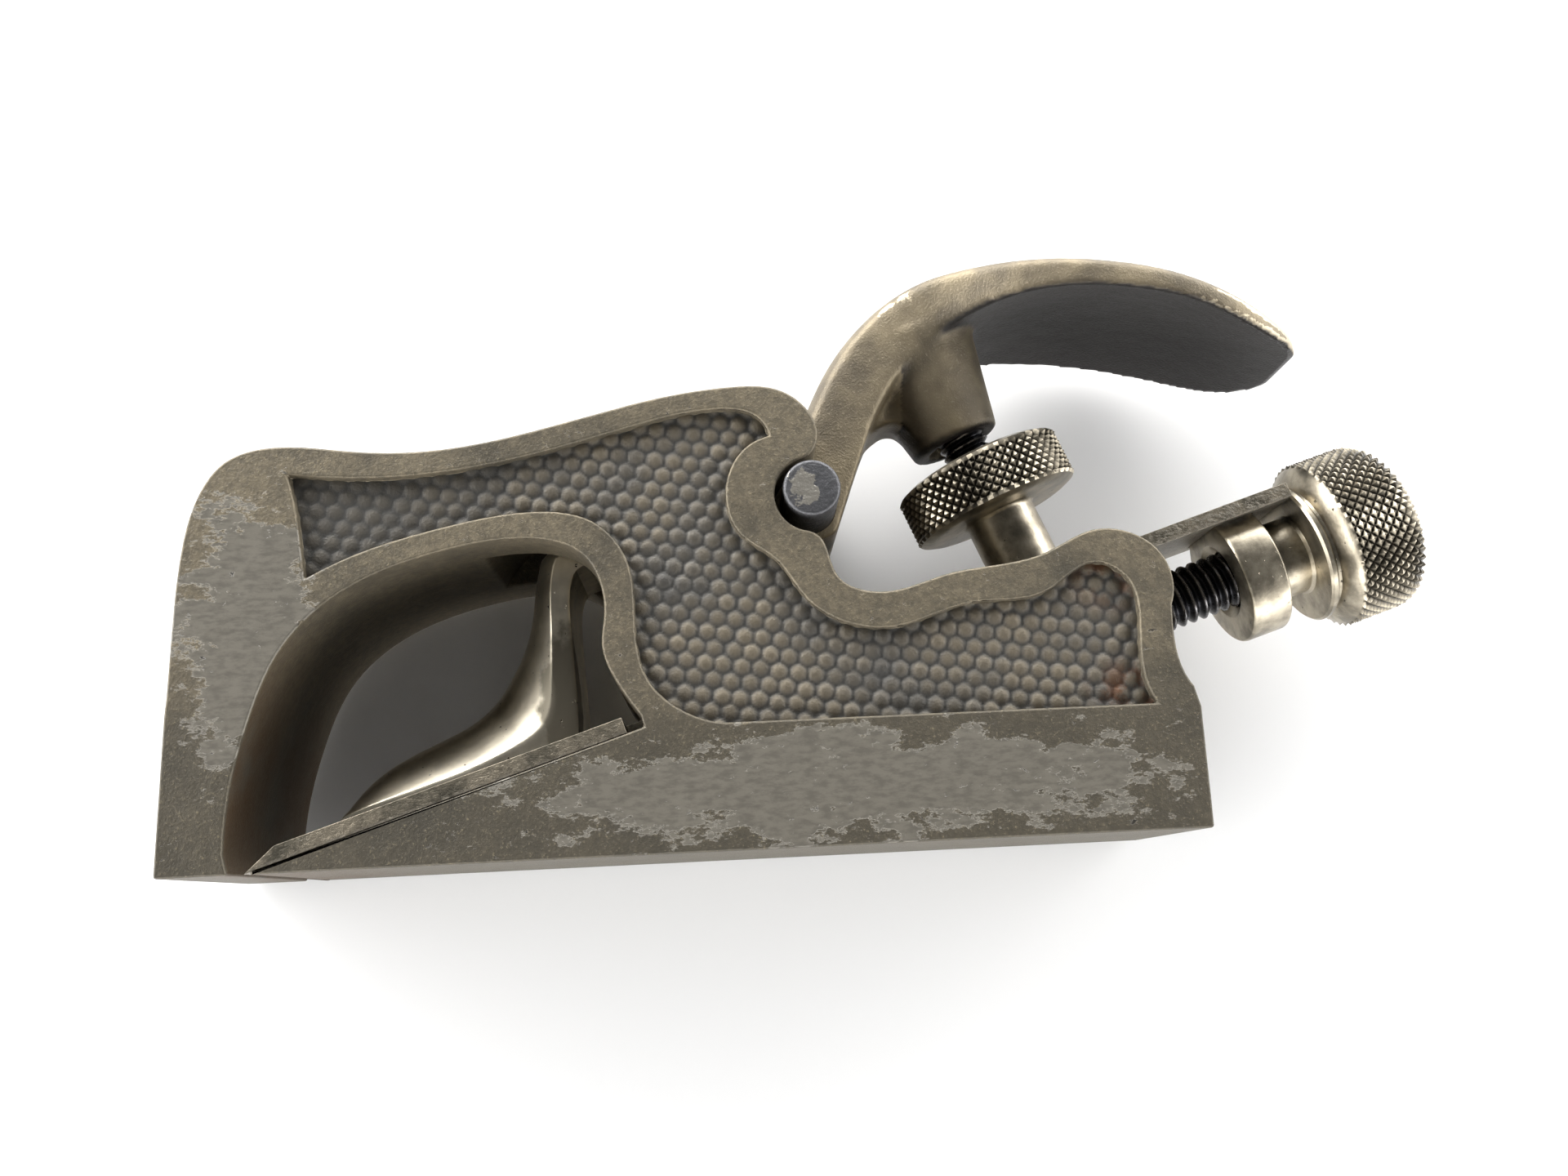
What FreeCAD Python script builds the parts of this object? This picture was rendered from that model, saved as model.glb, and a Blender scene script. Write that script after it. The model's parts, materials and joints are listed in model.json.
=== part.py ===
import FreeCAD, Part
import math
import os
import re
import Sketcher

# Bull-nose rebate plane: a cast body with open sides, a cutter bedded at a low angle,
# a lever cap that pivots on a cross pin, a clamp screw under its palm rest, and a
# knurled nut on a fixed stud that feeds the cutter.
#
# Frame: X runs along the sole from the toe to the heel, Y across the body, Z up.
# The origin is the middle of the sole. Outlines are drawn with X measured from the
# toe, and every piece is moved back by half the body's length to put it in the frame.

V = FreeCAD.Vector
doc = FreeCAD.newDocument("rebate_plane")
sheet = doc.addObject("Spreadsheet::Sheet", "sizes")

SIZES = [
    ("body_length", 101.6),       # sole, toe to heel
    ("body_width", 28.6),         # across the sole
    ("nose_rise", 42.1),          # sole to the top of the nose
    ("bed_angle", 17.9),          # cutter bed to the sole, degrees
    ("bed_start", 8.4),           # toe to where the bed plane meets the sole
    ("bed_lip", 0.7),             # blunt front end of the bed, along the sole
    ("mouth_front", 6.9),         # toe to the front wall of the mouth
    ("window_rear", 46.3),        # toe to the rear corner of the side window
    ("window_rise", 31.6),        # sole to the roof of the window
    ("slot_width", 14.6),         # gap between the cheeks
    ("rim_width", 3.0),           # plain rim left round the sunk panel
    ("panel_depth", 1.2),         # how far the side panel is sunk
    ("panel_foot", 12.4),         # sole to the lower edge of the panel
    ("pivot_x", 64.2),            # toe to the cross pin
    ("pivot_z", 35.7),            # sole to the cross pin
    ("pin_dia", 5.9),
    ("pin_proud", 0.4),           # pin beyond each side of the body
    ("pin_chamfer", 0.35),
    ("pin_fit", 0.03),            # radial clearance of the pin in the lever cap
    ("hook_gap", 0.85),           # radial clearance of the hook round the pin
    ("hook_drop", 0.6),           # centre of the hook below the centre of the pin
    ("blade_thickness", 1.6),
    ("blade_relief", 0.1),        # cutter inside each side of the body
    ("bevel_angle", 25.0),        # ground bevel, degrees
    ("edge_rise", 0.04),          # cutting edge above the sole at rest
    ("bed_gap", 0.02),            # cutter above the bed
    ("shoulder_gap", 1.4),        # wide part of the cutter to the window's rear corner
    ("tail_gap", 0.2),            # cutter tail to each cheek
    ("tail_short", 0.5),          # cutter tail to the rear flange of the nut
    ("lever_gap", 0.25),          # lever cap to each cheek
    ("boot_gap", 0.05),           # lever cap's boot above the cutter at rest
    ("eye_wall", 1.1),            # metal round the pin
    ("palm_width", 26.0),
    ("palm_reach", 56.0),         # cross pin to the tip of the palm rest
    ("screw_lean", 22.0),         # clamp screw from the vertical, degrees
    ("screw_reach", 20.4),        # cross pin to the clamp wheel's middle, along X
    ("screw_rise", 2.95),         # cross pin to the clamp wheel's middle, along Z
    ("screw_dia", 5.5),
    ("screw_hold", 8.0),          # clamp stud inside the boss
    ("screw_seat", 4.0),          # clamp stud inside the wheel
    ("screw_spare", 2.0),         # tapped hole beyond the stud's end
    ("thread_lead", 0.6),         # chamfer on the free end of each stud
    ("boss_dia", 10.2),           # lower rim of the boss
    ("boss_shift", 0.7),          # the cast boss stands this far ahead of its screw
    ("boss_flare", 2.2),          # growth of the boss's radius up to the palm
    ("boss_height", 13.5),
    ("web_width", 7.14),          # web between the boss and the arm
    ("boss_gap", 2.9),            # clamp wheel to the boss at rest
    ("wheel_dia", 19.1),
    ("wheel_thickness", 6.2),
    ("wheel_chamfer", 0.8),
    ("foot_dia", 7.8),
    ("foot_chamfer", 0.8),
    ("foot_gap", 0.06),           # clamp foot above the cutter
    ("stud_dia", 6.35),
    ("stud_fit", 0.03),           # radial clearance on both studs
    ("stud_hold", 10.9),          # adjuster stud ahead of the heel, along its axis
    ("stud_spare", 3.0),          # nut's bore beyond the stud's end
    ("stud_drop", 5.3),           # adjuster axis below the bed plane
    ("nut_standoff", 6.5),        # heel to the front collar's face, along X
    ("collar_dia", 14.2),
    ("collar_thickness", 4.6),
    ("collar_fit", 0.12),         # tail slot clearance on each face of the collar
    ("collar_side", 0.4),         # tail slot clearance on each side of the collar
    ("edge_break", 0.3),          # broken edges of the collar
    ("neck_dia", 8.6),
    ("neck_length", 4.3),
    ("flange_dia", 15.6),
    ("flange_thickness", 0.8),
    ("knob_dia", 19.05),
    ("groove_depth", 0.7),        # groove between the rear flange and the knob
    ("groove_width", 1.0),
    ("shoulder_length", 2.8),     # rear flange to the widest part of the plain shoulder
    ("shoulder_step", 0.4),       # shoulder below the knurl
    ("knurl_start", 3.5),         # rear flange to the knurl
    ("knob_length", 10.9),        # rear flange's back face to the end of the knob
    ("knob_round", 2.6),          # rounded rear edge of the knob
    ("knob_crown", 0.5),          # rise of the knob's end face
]
for row, (alias, value) in enumerate(SIZES, start=1):
    sheet.set("A%d" % row, alias)
    sheet.set("B%d" % row, str(value))
    sheet.setAlias("B%d" % row, alias)
doc.recompute()


def size(alias):
    """Value of one driving dimension, in mm or degrees."""
    return float(sheet.get(alias))


def of_sizes(formula):
    """The same formula with each size's name pointed at the sheet."""
    return re.sub("[a-z]+_[a-z]+", lambda name: "sizes." + name.group(), formula)


def value(formula):
    """Number that a formula over the sizes comes to."""
    return float(sheet.evalExpression(of_sizes(formula)))


def bind(item, path, formula):
    """Tie a property or a sketch's constraint to a formula over the sizes."""
    item.setExpression(path, of_sizes(formula))


LENGTH = size("body_length")
WIDTH = size("body_width")
BED = math.radians(size("bed_angle"))
SLOPE = math.tan(BED)
PIVOT = (size("pivot_x"), size("pivot_z"))


def bed_z(x):
    """Height of the bed plane above the sole, x measured from the toe."""
    return (x - size("bed_start")) * SLOPE


def blade_top_z(x):
    """Height of the cutter's upper face."""
    return bed_z(x) + (size("blade_thickness") + size("bed_gap")) / math.cos(BED)


def from_pivot(dx, dz):
    """Point placed from the cross pin."""
    return (PIVOT[0] + dx, PIVOT[1] + dz)


def from_heel(back, rise):
    """Point ahead of the heel, at a height above the bed plane there."""
    x = LENGTH - back
    return (x, bed_z(x) + rise)


def plane_of(body, role):
    """One of a body's own origin planes."""
    for feature in body.Origin.OriginFeatures:
        if feature.Role == role:
            return feature
    raise RuntimeError("no plane " + role)


def new_body(label):
    """Empty body whose label is the name of its file."""
    body = doc.addObject("PartDesign::Body", label)
    body.Label = label
    return body


def new_sketch(body, name, role, offset=None):
    """Sketch on one of the body's origin planes, or at an offset from it."""
    sketch = body.newObject("Sketcher::SketchObject", name)
    sketch.AttachmentSupport = [(plane_of(body, role), "")]
    sketch.MapMode = "FlatFace"
    if offset:
        bind(sketch, ".AttachmentOffset.Base.z", offset)
    return sketch


def leaning_sketch(body, name, at, lean):
    """Sketch in the side view whose upright axis passes through a point and leans back by an angle."""
    sketch = new_sketch(body, name, "XZ_Plane")
    sketch.AttachmentOffset = FreeCAD.Placement(V(0, 0, 0), FreeCAD.Rotation(V(0, 0, 1), lean))
    bind(sketch, ".AttachmentOffset.Base.x", at[0])
    bind(sketch, ".AttachmentOffset.Base.y", at[1])
    return sketch


def flat(point):
    """Sketch coordinates as a vector."""
    return V(point[0], point[1], 0)


def spline(points):
    """Smooth curve through a few points."""
    curve = Part.BSplineCurve()
    curve.interpolate([flat(point) for point in points])
    return curve


def draw(sketch, pieces):
    """Draw a closed outline: each piece is a list of points, and each ends where the next starts.

    Two points make a line, three marked "arc" an arc, and more a smooth curve.
    """
    for piece in pieces:
        if piece[0] == "arc":
            start, middle, end = [flat(point) for point in piece[1:]]
            sketch.addGeometry(Part.Arc(start, middle, end), False)
        elif len(piece) == 2:
            sketch.addGeometry(Part.LineSegment(flat(piece[0]), flat(piece[1])), False)
        else:
            sketch.addGeometry(spline(piece), False)


def hold(sketch, kind, formula, *where):
    """Add a constraint whose value is a formula over the sizes."""
    number = sketch.addConstraint(Sketcher.Constraint(kind, *where, value(formula)))
    if formula != "0":
        bind(sketch, "Constraints[%d]" % number, formula)


def polygon(sketch, corners):
    """Closed outline of straight sides, each corner held by two formulas."""
    places = [(value(across), value(up)) for across, up in corners]
    for start, end in zip(places, places[1:] + places[:1]):
        sketch.addGeometry(Part.LineSegment(flat(start), flat(end)), False)
    for side, (across, up) in enumerate(corners):
        sketch.addConstraint(Sketcher.Constraint("Coincident", side, 2, (side + 1) % len(corners), 1))
        hold(sketch, "DistanceX", across, -1, 1, side, 1)
        hold(sketch, "DistanceY", up, -1, 1, side, 1)


def circle(sketch, across, up, diameter):
    """Circle whose middle and diameter are held by formulas."""
    middle = V(value(across), value(up), 0)
    sketch.addGeometry(Part.Circle(middle, V(0, 0, 1), value(diameter) / 2), False)
    hold(sketch, "DistanceX", across, -1, 1, 0, 3)
    hold(sketch, "DistanceY", up, -1, 1, 0, 3)
    hold(sketch, "Diameter", diameter, 0)


def pad_both(body, sketch, name, length):
    """Pad a sketch evenly to both sides of its plane."""
    pad = body.newObject("PartDesign::Pad", name)
    pad.Profile = sketch
    pad.SideType = "Symmetric"
    bind(pad, "Length", length)
    return pad


def pocket_both(body, sketch, name, length):
    """Cut a sketch evenly to both sides of its plane."""
    pocket = body.newObject("PartDesign::Pocket", name)
    pocket.Profile = sketch
    pocket.SideType = "Symmetric"
    bind(pocket, "Length", length)
    return pocket


def turn(body, sketch, name, corners, cut=False):
    """Revolve a half section, radius and height, about its sketch's upright axis."""
    polygon(sketch, corners)
    feature = body.newObject("PartDesign::Groove" if cut else "PartDesign::Revolution", name)
    feature.Profile = sketch
    feature.ReferenceAxis = (sketch, ["V_Axis"])
    feature.Angle = 360
    return feature


def turned_piece(label, corners):
    """Piece turned about its own upright axis."""
    body = new_body(label)
    turn(body, new_sketch(body, label + "_section", "XZ_Plane"), label + "_turned", corners)
    return body


def round_edges(feature, radius, height=None):
    """Names of a feature's circular edges of one radius, at any height or at one."""
    names = []
    for number, edge in enumerate(feature.Shape.Edges, start=1):
        is_circle = isinstance(edge.Curve, Part.Circle) and abs(edge.Curve.Radius - radius) < 1e-4
        if is_circle and (height is None or abs(edge.Curve.Center.z - height) < 1e-4):
            names.append("Edge%d" % number)
    return names


def move_to_frame(body, at=("0", "0"), lean=0):
    """Bring a piece from the toe, or its own axis, into the frame of the whole plane.

    at is where the piece's own origin goes in the side view, and lean how far its upright
    axis leans to the rear, in degrees.
    """
    body.Placement = FreeCAD.Placement(V(0, 0, 0), FreeCAD.Rotation(V(0, 1, 0), lean))
    bind(body, ".Placement.Base.x", "%s - body_length / 2" % at[0])
    bind(body, ".Placement.Base.z", at[1])


# ---------------------------------------------------------------- body casting
HOOK = from_pivot(0, -size("hook_drop"))
HOOK_RADIUS = size("pin_dia") / 2 + size("hook_gap")


def on_hook(angle):
    """Point of the hook's round seat, angle in degrees from +X."""
    turn_by = math.radians(angle)
    return (HOOK[0] + HOOK_RADIUS * math.cos(turn_by), HOOK[1] + HOOK_RADIUS * math.sin(turn_by))


def body_outline():
    """Side outline of the casting, clockwise from the toe."""
    tip_rise = HOOK_RADIUS
    nose = size("nose_rise")
    toe = (0.0, 0.0)
    toe_top = (0.5, 0.36 * nose)
    hook_tip = on_hook(105)
    hook_foot = on_hook(255)
    heel_top = from_heel(1.9, -7.2)
    step = from_heel(0.5, -16.0)
    top = [toe_top, (0.9, nose - 20), (1.6, nose - 10.6), (3.0, nose - 5.0), (5.6, nose - 1.4),
           (10.5, nose), (18.0, nose - 0.7), (25.0, nose - 1.0), (35.3, nose + 0.5),
           from_pivot(-15.6, 10.1), from_pivot(-7.7, 11.1), from_pivot(-2.6, 10.5),
           from_pivot(0.1, 8.2), from_pivot(0.9, 5.8), from_pivot(0.2, tip_rise), hook_tip]
    rear = [hook_foot, from_pivot(0.7, -5.2), from_pivot(2.2, -9.2), from_pivot(4.4, -10.6),
            from_pivot(7.2, -10.9), from_pivot(13.0, -9.4), from_heel(14.1, 2.6),
            from_heel(9.0, 3.1), from_heel(5.0, 1.2), from_heel(2.3, -2.0),
            from_heel(1.5, -4.8), heel_top]
    ogee = [heel_top, from_heel(1.8, -12.4), from_heel(1.2, -14.6), step]
    skirt = from_heel(0.0, -18.2)
    heel = (LENGTH, 0.0)
    return [[toe, toe_top], top, ["arc", hook_tip, on_hook(180), hook_foot], rear, ogee,
            [step, skirt], [skirt, heel], [heel, toe]]


def window_outline():
    """Side window: mouth, front wall, roof, S-shaped rear wall, and the bed below it."""
    roof = size("window_rise")
    front = size("mouth_front")
    rear = size("window_rear")
    lip = size("bed_start") + size("bed_lip")
    under = 1.0
    arch = [(front - 0.5, 2.0), (front + 0.1, 8.6), (front + 1.8, 15.2), (front + 4.5, 21.4),
            (front + 8.4, 25.6), (front + 13.8, roof - 2.9), (front + 20.2, roof - 0.9),
            (front + 28.0, roof + 0.1), (rear - 7.9, roof - 0.4), (rear - 5.2, roof - 1.9),
            (rear - 3.6, roof - 4.9), (rear - 3.3, roof - 8.0), (rear - 3.6, roof - 11.0),
            (rear - 2.4, roof - 14.5), (rear, bed_z(rear) + 1.2)]
    corner = (rear + 0.3, bed_z(rear + 0.3))
    return [[(front, -under), (front, 0.0)], [(front, 0.0), arch[0]], arch, [arch[-1], corner],
            [corner, (lip, bed_z(lip))], [(lip, bed_z(lip)), (lip, -under)],
            [(lip, -under), (front, -under)]]


def slot_outline():
    """Space between the cheeks, above the bed: roofed in front, open at the top and rear."""
    roof = size("window_rise")
    rear = size("window_rear")
    start = (rear - 16.3, roof - 1.2)
    low = (rear - 6.0, bed_z(rear - 6.0))
    mouth_top = from_pivot(-7.2, 7.6)
    cover = [start, (rear - 12.6, roof + 3.8), (rear - 6.3, roof + 7.2), from_pivot(-15.5, 5.2),
             mouth_top]
    above = size("nose_rise") + 30
    beyond = LENGTH + 20
    return [cover, [mouth_top, (mouth_top[0], above)], [(mouth_top[0], above), (beyond, above)],
            [(beyond, above), (beyond, bed_z(beyond))], [(beyond, bed_z(beyond)), low],
            [low, (rear - 16.3, bed_z(rear - 6.0))], [(rear - 16.3, bed_z(rear - 6.0)), start]]


def panel_outline():
    """Sunk side panel: follows the outer edge and the window a rim's width inside them."""
    rim = size("rim_width")
    nose = size("nose_rise")
    roof = size("window_rise")
    rear = size("window_rear")
    foot = size("panel_foot")
    left_top = (11.8, nose - rim + 0.1)
    left_foot = (13.7, 0.9 * roof)
    peak = from_pivot(-4.0, 5.7)
    tail = from_heel(4.3, foot - bed_z(LENGTH - 4.3))
    foot_front = (rear + 8.2, foot)
    top = [left_top, (19.8, nose - rim - 0.6), (32.0, nose - rim + 0.4), from_pivot(-19.0, 6.9),
           from_pivot(-10.2, 8.7), from_pivot(-5.4, 7.9), peak]
    hook = [peak, from_pivot(-7.2, 3.9), from_pivot(-8.7, 0.2), from_pivot(-7.4, -4.5),
            from_pivot(-4.0, -7.2), from_pivot(-1.3, -11.1), from_pivot(3.0, -14.0),
            from_pivot(7.8, -14.5), from_pivot(15.4, -12.4), from_heel(14.4, -1.3),
            from_heel(9.3, -0.2), from_heel(6.1, -3.1), from_heel(5.4, -8.0),
            from_heel(5.4, -13.2), tail]
    inner = [foot_front, (rear + 4.4, foot + 1.2), (rear + 0.9, foot + 4.4), (rear - 0.3, foot + 10.2),
             (rear - 0.9, roof - 2.6), (rear - 3.8, roof + 1.3), (rear - 10.3, roof + 2.8),
             (rear - 19.3, roof + 1.5), (19.9, roof - 0.4), left_foot]
    left = [left_foot, (13.3, 0.9 * roof + 3.0), (12.7, nose - rim - 3.3), left_top]
    return [top, hook, [tail, foot_front], inner, left]


body = new_body("body_casting")
outline = new_sketch(body, "side_outline", "XZ_Plane")
draw(outline, body_outline())
pad_both(body, outline, "casting", "body_width")

window = new_sketch(body, "window_outline", "XZ_Plane")
draw(window, window_outline())
pocket_both(body, window, "window", "body_width * 2")

slot = new_sketch(body, "slot_outline", "XZ_Plane")
draw(slot, slot_outline())
pocket_both(body, slot, "slot", "slot_width")

panel = new_sketch(body, "panel_outline", "XZ_Plane", "body_width / 2")
draw(panel, panel_outline())
sunk = body.newObject("PartDesign::Pocket", "panel")
sunk.Profile = panel
bind(sunk, "Length", "panel_depth")
doc.recompute()
both_panels = body.newObject("PartDesign::Mirrored", "both_panels")
both_panels.Originals = [sunk]
both_panels.MirrorPlane = (plane_of(body, "XZ_Plane"), [""])
body.Tip = both_panels
doc.recompute()

# The adjuster's axis runs parallel to the bed, below it. Its pieces are measured along it
# from the front face of the nut's front collar, which stands behind the heel.
COLLAR = ("(body_length + stud_drop * sin(bed_angle) + nut_standoff)",
          "((body_length - bed_start + nut_standoff) * tan(bed_angle) - stud_drop * cos(bed_angle))")
STUD_START = "-nut_standoff / cos(bed_angle) - stud_hold"
BORE = "stud_dia / 2 + stud_fit"
bore_sketch = leaning_sketch(body, "stud_bore_section", COLLAR, size("bed_angle") - 90)
turn(body, bore_sketch, "stud_bore", [("0", STUD_START), (BORE, STUD_START), (BORE, "0"),
                                      ("0", "0")], cut=True)
move_to_frame(body)

# ---------------------------------------------------------------- cutter
EDGE_X = "(bed_start + edge_rise / tan(bed_angle) - bed_gap / sin(bed_angle))"
COLLAR_ALONG = ("(body_length - bed_start + nut_standoff) / cos(bed_angle)"
                " - edge_rise / sin(bed_angle) + bed_gap / tan(bed_angle)")
WIDE_END = "(window_rear - shoulder_gap - %s) / cos(bed_angle)" % EDGE_X
TAIL_END = COLLAR_ALONG + " + collar_thickness + neck_length - tail_short"
WIDE = "body_width / 2 - blade_relief"
NARROW = "slot_width / 2 - tail_gap"

blade = new_body("cutter_blade")
plan = new_sketch(blade, "blade_plan", "XY_Plane")
polygon(plan, [("0", "-(%s)" % WIDE), (WIDE_END, "-(%s)" % WIDE), (WIDE_END, "-(%s)" % NARROW),
               (TAIL_END, "-(%s)" % NARROW), (TAIL_END, NARROW), (WIDE_END, NARROW),
               (WIDE_END, WIDE), ("0", WIDE)])
plate = blade.newObject("PartDesign::Pad", "plate")
plate.Profile = plan
bind(plate, "Length", "blade_thickness")

bevel = new_sketch(blade, "bevel_section", "XZ_Plane")
polygon(bevel, [("-blade_thickness", "-blade_thickness * tan(bevel_angle)"),
                ("blade_thickness / tan(bevel_angle) + blade_thickness",
                 "blade_thickness + blade_thickness * tan(bevel_angle)"),
                ("-blade_thickness", "blade_thickness * 2")])
pocket_both(blade, bevel, "bevel", "body_width * 2")

# The nut's front collar stands in a slot across the cutter's tail and carries it along.
SLOT_FRONT = COLLAR_ALONG + " - collar_fit"
SLOT_REAR = COLLAR_ALONG + " + collar_thickness + collar_fit"
SLOT_SIDE = "sqrt((collar_dia / 2) ^ 2 - (stud_drop + bed_gap) ^ 2) + collar_side"
cross_slot = new_sketch(blade, "cross_slot_plan", "XY_Plane")
polygon(cross_slot, [(SLOT_FRONT, "-(%s)" % SLOT_SIDE), (SLOT_REAR, "-(%s)" % SLOT_SIDE),
                     (SLOT_REAR, SLOT_SIDE), (SLOT_FRONT, SLOT_SIDE)])
pocket_both(blade, cross_slot, "cross_slot", "blade_thickness * 4")
move_to_frame(blade, (EDGE_X, "edge_rise"), -size("bed_angle"))

# ---------------------------------------------------------------- lever cap
# The clamp screw's pieces are measured along its axis from the middle of its wheel.
WHEEL = ("(pivot_x + screw_reach)", "(pivot_z + screw_rise)")
BOSS_RIM = "wheel_thickness / 2 + boss_gap"


def boot_z(x):
    """Underside of the boot."""
    return blade_top_z(x) + size("boot_gap") / math.cos(BED)


def arm_outline():
    """Side outline of the lever cap without its palm rest, clockwise from the boot's tip."""
    eye = size("pin_dia") / 2 + size("eye_wall")
    toe = from_pivot(-48.5, boot_z(PIVOT[0] - 48.5) - PIVOT[1])
    boot_tip = (toe[0] - 0.4, toe[1] + 1.4)
    heel_x = PIVOT[0] - 24.2
    heel = (heel_x, boot_z(heel_x))
    palm_top = from_pivot(19.6, 25.8)
    palm_under = from_pivot(20.9, 20.9)
    eye_low = from_pivot(0.0, -eye)
    eye_rear = from_pivot(eye * math.cos(math.radians(15)), eye * math.sin(math.radians(15)))
    eye_mid = from_pivot(eye * math.cos(math.radians(-35)), eye * math.sin(math.radians(-35)))
    crown = [boot_tip, from_pivot(-45.8, -24.8), from_pivot(-39.8, -21.8), from_pivot(-34.6, -19.4),
             from_pivot(-32.0, -15.8), from_pivot(-30.4, -11.7), from_pivot(-29.4, -6.0),
             from_pivot(-27.4, -2.5), from_pivot(-22.5, 0.6), from_pivot(-15.0, 2.4),
             from_pivot(-7.5, 4.0), from_pivot(-2.6, 7.2), from_pivot(0.4, 11.2),
             from_pivot(1.9, 14.8), from_pivot(4.0, 18.2), from_pivot(7.6, 22.2),
             from_pivot(13.2, 25.7), palm_top]
    under = [palm_under, from_pivot(14.3, 18.1), from_pivot(9.5, 13.2), from_pivot(7.1, 8.7),
             from_pivot(5.7, 4.7), eye_rear]
    neck = [eye_low, from_pivot(-6.0, -4.6), from_pivot(-13.0, -4.2), from_pivot(-20.0, -5.0),
            from_pivot(-23.7, -8.0), from_pivot(-25.0, -12.5), from_pivot(-24.9, -17.5), heel]
    return [[toe, boot_tip], crown, [palm_top, palm_under], under,
            ["arc", eye_rear, eye_mid, eye_low], neck, [heel, toe]]


def palm_outline():
    """Side outline of the palm rest: a thin plate that curves down to a rounded tip."""
    reach = size("palm_reach")
    top_root = from_pivot(9.6, 24.0)
    under_root = from_pivot(12.6, 17.1)
    top = [top_root, from_pivot(13.0, 26.2), from_pivot(19.6, 26.7), from_pivot(30.5, 26.0),
           from_pivot(40.0, 24.1), from_pivot(48.0, 21.0), from_pivot(reach - 2.6, 17.9),
           from_pivot(reach, 15.9)]
    under = [from_pivot(reach - 1.5, 15.6), from_pivot(47.0, 17.1), from_pivot(40.0, 19.6),
             from_pivot(31.0, 21.7), from_pivot(23.0, 21.6), from_pivot(17.5, 19.8), under_root]
    return [top, [top[-1], under[0]], under, [under_root, top_root]]


def palm_plan():
    """Everything outside the palm rest's plan, which narrows into the arm and ends in a round tip."""
    half = size("palm_width") / 2
    arm_half = size("slot_width") / 2 - size("lever_gap")
    reach = size("palm_reach")
    root = from_pivot(8.0, 0)[0]
    side = [(root, arm_half), (PIVOT[0] + 13.5, arm_half + 0.4), (PIVOT[0] + 19.0, 0.78 * half),
            (PIVOT[0] + 28.0, 0.955 * half), (PIVOT[0] + 37.0, half),
            (PIVOT[0] + 45.0, 0.955 * half), (PIVOT[0] + 50.5, 0.76 * half),
            (PIVOT[0] + reach - 1.2, 0.4 * half), (PIVOT[0] + reach, 0.0)]
    mirrored = [(x, -y) for x, y in reversed(side)]
    wide = half + 5
    end = PIVOT[0] + reach + 5
    return [side, mirrored, [mirrored[-1], (root, -wide)], [(root, -wide), (end, -wide)],
            [(end, -wide), (end, wide)], [(end, wide), (root, wide)], [(root, wide), side[0]]]


def web_outline():
    """Web that joins the arm to the boss, arched below."""
    arch = [from_pivot(7.2, 8.0), from_pivot(10.3, 10.1), from_pivot(12.9, 7.3)]
    inside = [arch[-1], from_pivot(18.0, 9.0), from_pivot(19.0, 22.0), from_pivot(10.0, 20.0),
              from_pivot(5.0, 10.0), arch[0]]
    return [arch] + [[start, end] for start, end in zip(inside, inside[1:])]


lever = new_body("lever_cap")
palm = new_sketch(lever, "palm_outline", "XZ_Plane")
draw(palm, palm_outline())
pad_both(lever, palm, "palm_rest", "palm_width")
trim = new_sketch(lever, "palm_plan", "XY_Plane")
draw(trim, palm_plan())
pocket_both(lever, trim, "palm_trim", "nose_rise * 6")
arm = new_sketch(lever, "arm_outline", "XZ_Plane")
draw(arm, arm_outline())
pad_both(lever, arm, "arm", "slot_width - 2 * lever_gap")
web = new_sketch(lever, "web_outline", "XZ_Plane")
draw(web, web_outline())
pad_both(lever, web, "web", "web_width")

BOSS_AT = (WHEEL[0] + " - boss_shift * cos(screw_lean)", WHEEL[1] + " - boss_shift * sin(screw_lean)")
BOSS_TOP = BOSS_RIM + " + boss_height"
boss_sketch = leaning_sketch(lever, "boss_section", BOSS_AT, size("screw_lean"))
turn(lever, boss_sketch, "boss", [("0", BOSS_TOP), ("boss_dia / 2 + boss_flare", BOSS_TOP),
                                  ("boss_dia / 2", BOSS_RIM), ("0", BOSS_RIM)])
THREAD = "screw_dia / 2 + stud_fit"
TAPPED_END = BOSS_RIM + " + screw_hold + screw_spare"
BELOW_RIM = BOSS_RIM + " - boss_gap / 2"
screw_sketch = leaning_sketch(lever, "screw_bore_section", WHEEL, size("screw_lean"))
turn(lever, screw_sketch, "screw_bore", [("0", TAPPED_END), (THREAD, TAPPED_END),
                                         (THREAD, BELOW_RIM), ("0", BELOW_RIM)], cut=True)

eye_hole = new_sketch(lever, "eye_hole", "XZ_Plane")
circle(eye_hole, "pivot_x", "pivot_z", "pin_dia + 2 * pin_fit")
pocket_both(lever, eye_hole, "pin_eye", "body_width * 2")
move_to_frame(lever)

# ---------------------------------------------------------------- cross pin
pin = new_body("lever_pin")
pin_round = new_sketch(pin, "pin_round", "XZ_Plane")
circle(pin_round, "0", "0", "pin_dia")
pin_bar = pad_both(pin, pin_round, "pin_bar", "body_width + 2 * pin_proud")
doc.recompute()
pin_ends = pin.newObject("PartDesign::Chamfer", "pin_ends")
pin_ends.Base = (pin_bar, round_edges(pin_bar, size("pin_dia") / 2))
bind(pin_ends, "Size", "pin_chamfer")
move_to_frame(pin, ("pivot_x", "pivot_z"))

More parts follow.
